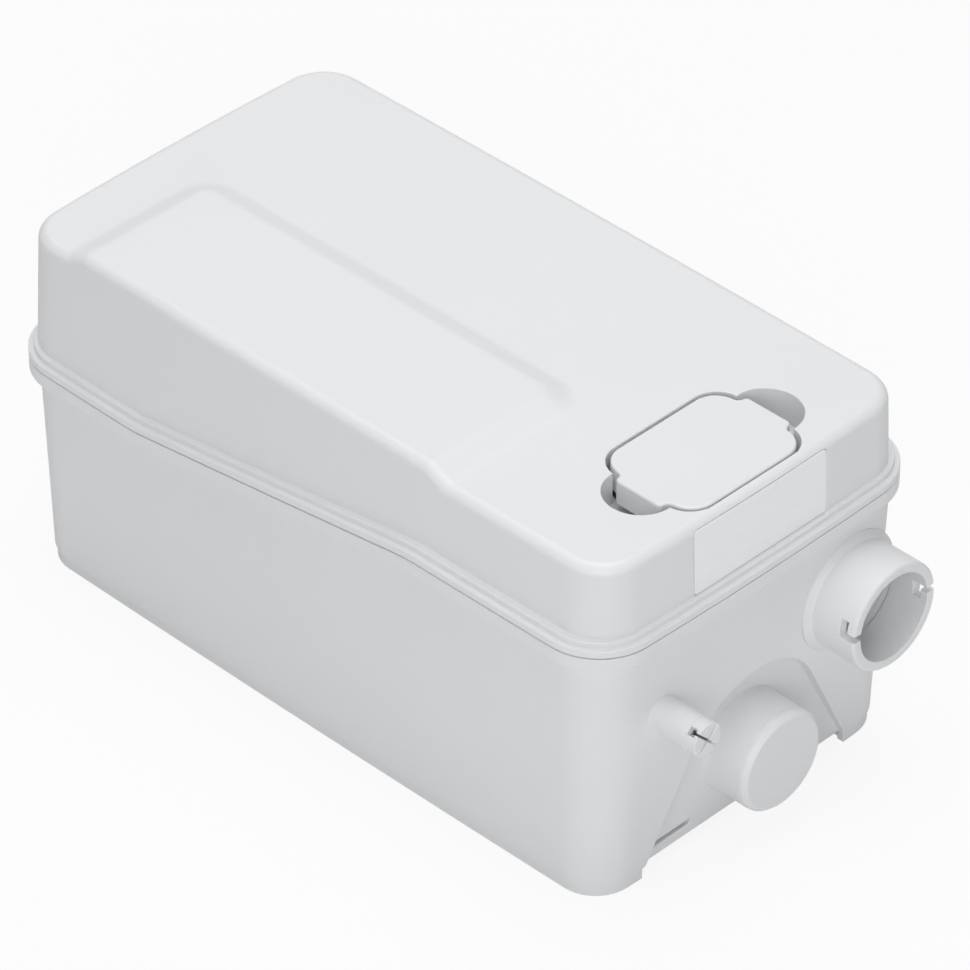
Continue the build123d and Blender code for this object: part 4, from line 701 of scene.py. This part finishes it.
class STATION_OT_controller(Operator):
    """Finish the controller, its board and the cable gland."""

    bl_idname = "station.controller"
    bl_label = "Controller and gland"

    def execute(self, context):
        works = context.scene.station_works
        plastic = moulded_plastic("controller_plastic", works.box, 0.45, 0.06 * MM, 0.75)
        for node in ("controller_box", "controller_lid", "cable_gland", "gland_nut"):
            eased(node, plastic, works.edge)
        eased("controller_board", circuit_board("board_laminate", LACQUER), UNEASED)
        eased("run_capacitor", moulded_plastic("capacitor_case", CAPACITOR_CASE, 0.3), CASE_EDGE)
        eased("relay", moulded_plastic("relay_case", RELAY_CASE, 0.28), CASE_EDGE)
        eased("transformer", laminations("transformer_stack", TRANSFORMER_SHEET), BLOCK_EDGE)
        terminals = moulded_plastic("terminal_plastic", TERMINAL_PLASTIC, 0.4)
        eased("terminal_block", terminals, BLOCK_EDGE)
        return {"FINISHED"}


class STATION_OT_stage(Operator):
    """Lay the floor, hang the lights and place the camera."""

    bl_idname = "station.stage"
    bl_label = "Stage"

    BACK = Vector((-0.5653, -0.5533, 0.6118))
    RIGHT = Vector((0.6995, -0.7147, 0.0))
    DISTANCE = 2493.0 * MM
    AIM_RIGHT = 10.1 * MM
    AIM_UP = 52.9 * MM
    ROLL = math.radians(0.256)
    SENSOR_WIDTH = 36.0
    NEAREST = 0.1
    FARTHEST = 50.0
    FLOOR_CELLS = 8
    LAMPS = (
        ("overhead", 1.6, Vector((0.1, 0.1, 2.0))),
        ("rear", 1.6, Vector((0.6, 1.2, 1.6))),
        ("front", 1.2, Vector((-1.35, -1.35, 0.9))),
    )

    def execute(self, context):
        look = context.scene.station_stage
        self.floor(context, look)
        self.world(context, look)
        for name, size, place in self.LAMPS:
            self.lamp(context, name + "_light", getattr(look, name), size, place)
        self.camera(context, look)
        return {"FINISHED"}

    def floor(self, context, look):
        bm = bmesh.new()
        cells = self.FLOOR_CELLS
        bmesh.ops.create_grid(bm, x_segments=cells, y_segments=cells, size=look.floor_size / 2)
        mesh = bpy.data.meshes.new("floor")
        bm.to_mesh(mesh)
        bm.free()
        floor = bpy.data.objects.new("floor", mesh)
        context.scene.collection.objects.link(floor)
        paint = Finish("floor_paint", 0.9)
        colour = tuple(look.floor_colour)
        paint.colours(paint.noise(2.0), shade(colour, 0.99), colour)
        paint.shader.inputs["Specular IOR Level"].default_value = 0.0
        white = paint.node("ShaderNodeEmission", {"Color": WHITE, "Strength": 1.0})
        path = paint.node("ShaderNodeLightPath")
        seen = paint.node(
            "ShaderNodeMath",
            {0: path.outputs["Is Camera Ray"], 1: look.floor_glow},
            operation="MULTIPLY",
        )
        mixed = paint.node(
            "ShaderNodeMixShader",
            {0: seen.outputs[0], 1: paint.shader.outputs[0], 2: white.outputs[0]},
        )
        paint.links.new(mixed.outputs[0], paint.nodes["Material Output"].inputs["Surface"])
        mesh.materials.append(paint.material)

    def world(self, context, look):
        world = bpy.data.worlds.new("studio")
        world.use_nodes = True
        tree = world.node_tree
        tree.nodes.clear()
        path = tree.nodes.new("ShaderNodeLightPath")
        seen = path.outputs["Is Camera Ray"]
        for ray in ("Is Glossy Ray", "Is Transmission Ray"):
            either = tree.nodes.new("ShaderNodeMath")
            either.operation = "MAXIMUM"
            tree.links.new(seen, either.inputs[0])
            tree.links.new(path.outputs[ray], either.inputs[1])
            seen = either.outputs[0]
        mixed = tree.nodes.new("ShaderNodeMixShader")
        tree.links.new(seen, mixed.inputs[0])
        for place, colour, strength in ((1, SKY_COLOUR, look.sky), (2, WHITE, 1.0)):
            ground = tree.nodes.new("ShaderNodeBackground")
            ground.inputs["Color"].default_value = colour
            ground.inputs["Strength"].default_value = strength
            tree.links.new(ground.outputs[0], mixed.inputs[place])
        output = tree.nodes.new("ShaderNodeOutputWorld")
        tree.links.new(mixed.outputs[0], output.inputs["Surface"])
        context.scene.world = world

    def lamp(self, context, name, power, size, place):
        data = bpy.data.lights.new(name, "AREA")
        data.energy = power
        data.shape = "SQUARE"
        data.size = size
        lamp = bpy.data.objects.new(name, data)
        lamp.location = place
        lamp.rotation_mode = "QUATERNION"
        lamp.rotation_quaternion = (-place).to_track_quat("-Z", "Y")
        context.scene.collection.objects.link(lamp)

    def camera(self, context, look):
        up = self.BACK.cross(self.RIGHT)
        eye = self.RIGHT * self.AIM_RIGHT + up * self.AIM_UP + self.BACK * self.DISTANCE
        turn = Matrix((self.RIGHT, up, self.BACK)).transposed()
        data = bpy.data.cameras.new("camera")
        data.lens = look.lens
        data.sensor_width = self.SENSOR_WIDTH
        data.clip_start = self.NEAREST
        data.clip_end = self.FARTHEST
        camera = bpy.data.objects.new("camera", data)
        roll = Matrix.Rotation(self.ROLL, 3, "Z")
        camera.matrix_world = Matrix.Translation(eye) @ (turn @ roll).to_4x4()
        context.scene.collection.objects.link(camera)
        context.scene.camera = camera
        context.scene.view_settings.view_transform = "Standard"


class STATION_PT_panel(Panel):
    """The sidebar panel that lists the sizes, the colours and the steps."""

    bl_idname = "STATION_PT_panel"
    bl_label = "Lifting Station"
    bl_space_type = "VIEW_3D"
    bl_region_type = "UI"
    bl_category = "Lifting Station"

    def draw(self, context):
        for step in STEPS:
            self.layout.operator(step.bl_idname)
        for holder, group in LOOKS.items():
            box = self.layout.box()
            box.label(text=group.__doc__)
            for name in group.__annotations__:
                box.prop(getattr(context.scene, holder), name)


STEPS = (
    STATION_OT_casing,
    STATION_OT_label,
    STATION_OT_vent,
    STATION_OT_seals,
    STATION_OT_pump,
    STATION_OT_motor,
    STATION_OT_fasteners,
    STATION_OT_valve,
    STATION_OT_switch,
    STATION_OT_controller,
    STATION_OT_stage,
)
CLASSES = (*LOOKS.values(), *STEPS, STATION_PT_panel)


def register():
    for made in CLASSES:
        bpy.utils.register_class(made)
    for holder, group in LOOKS.items():
        setattr(bpy.types.Scene, holder, PointerProperty(type=group))


def unregister():
    for holder in LOOKS:
        delattr(bpy.types.Scene, holder)
    for made in reversed(CLASSES):
        bpy.utils.unregister_class(made)


def main():
    register()
    for step in STEPS:
        group, name = step.bl_idname.split(".")
        result = getattr(getattr(bpy.ops, group), name)()
        if "FINISHED" not in result:
            raise RuntimeError(step.bl_idname + " did not finish")


if __name__ == "__main__":
    main()
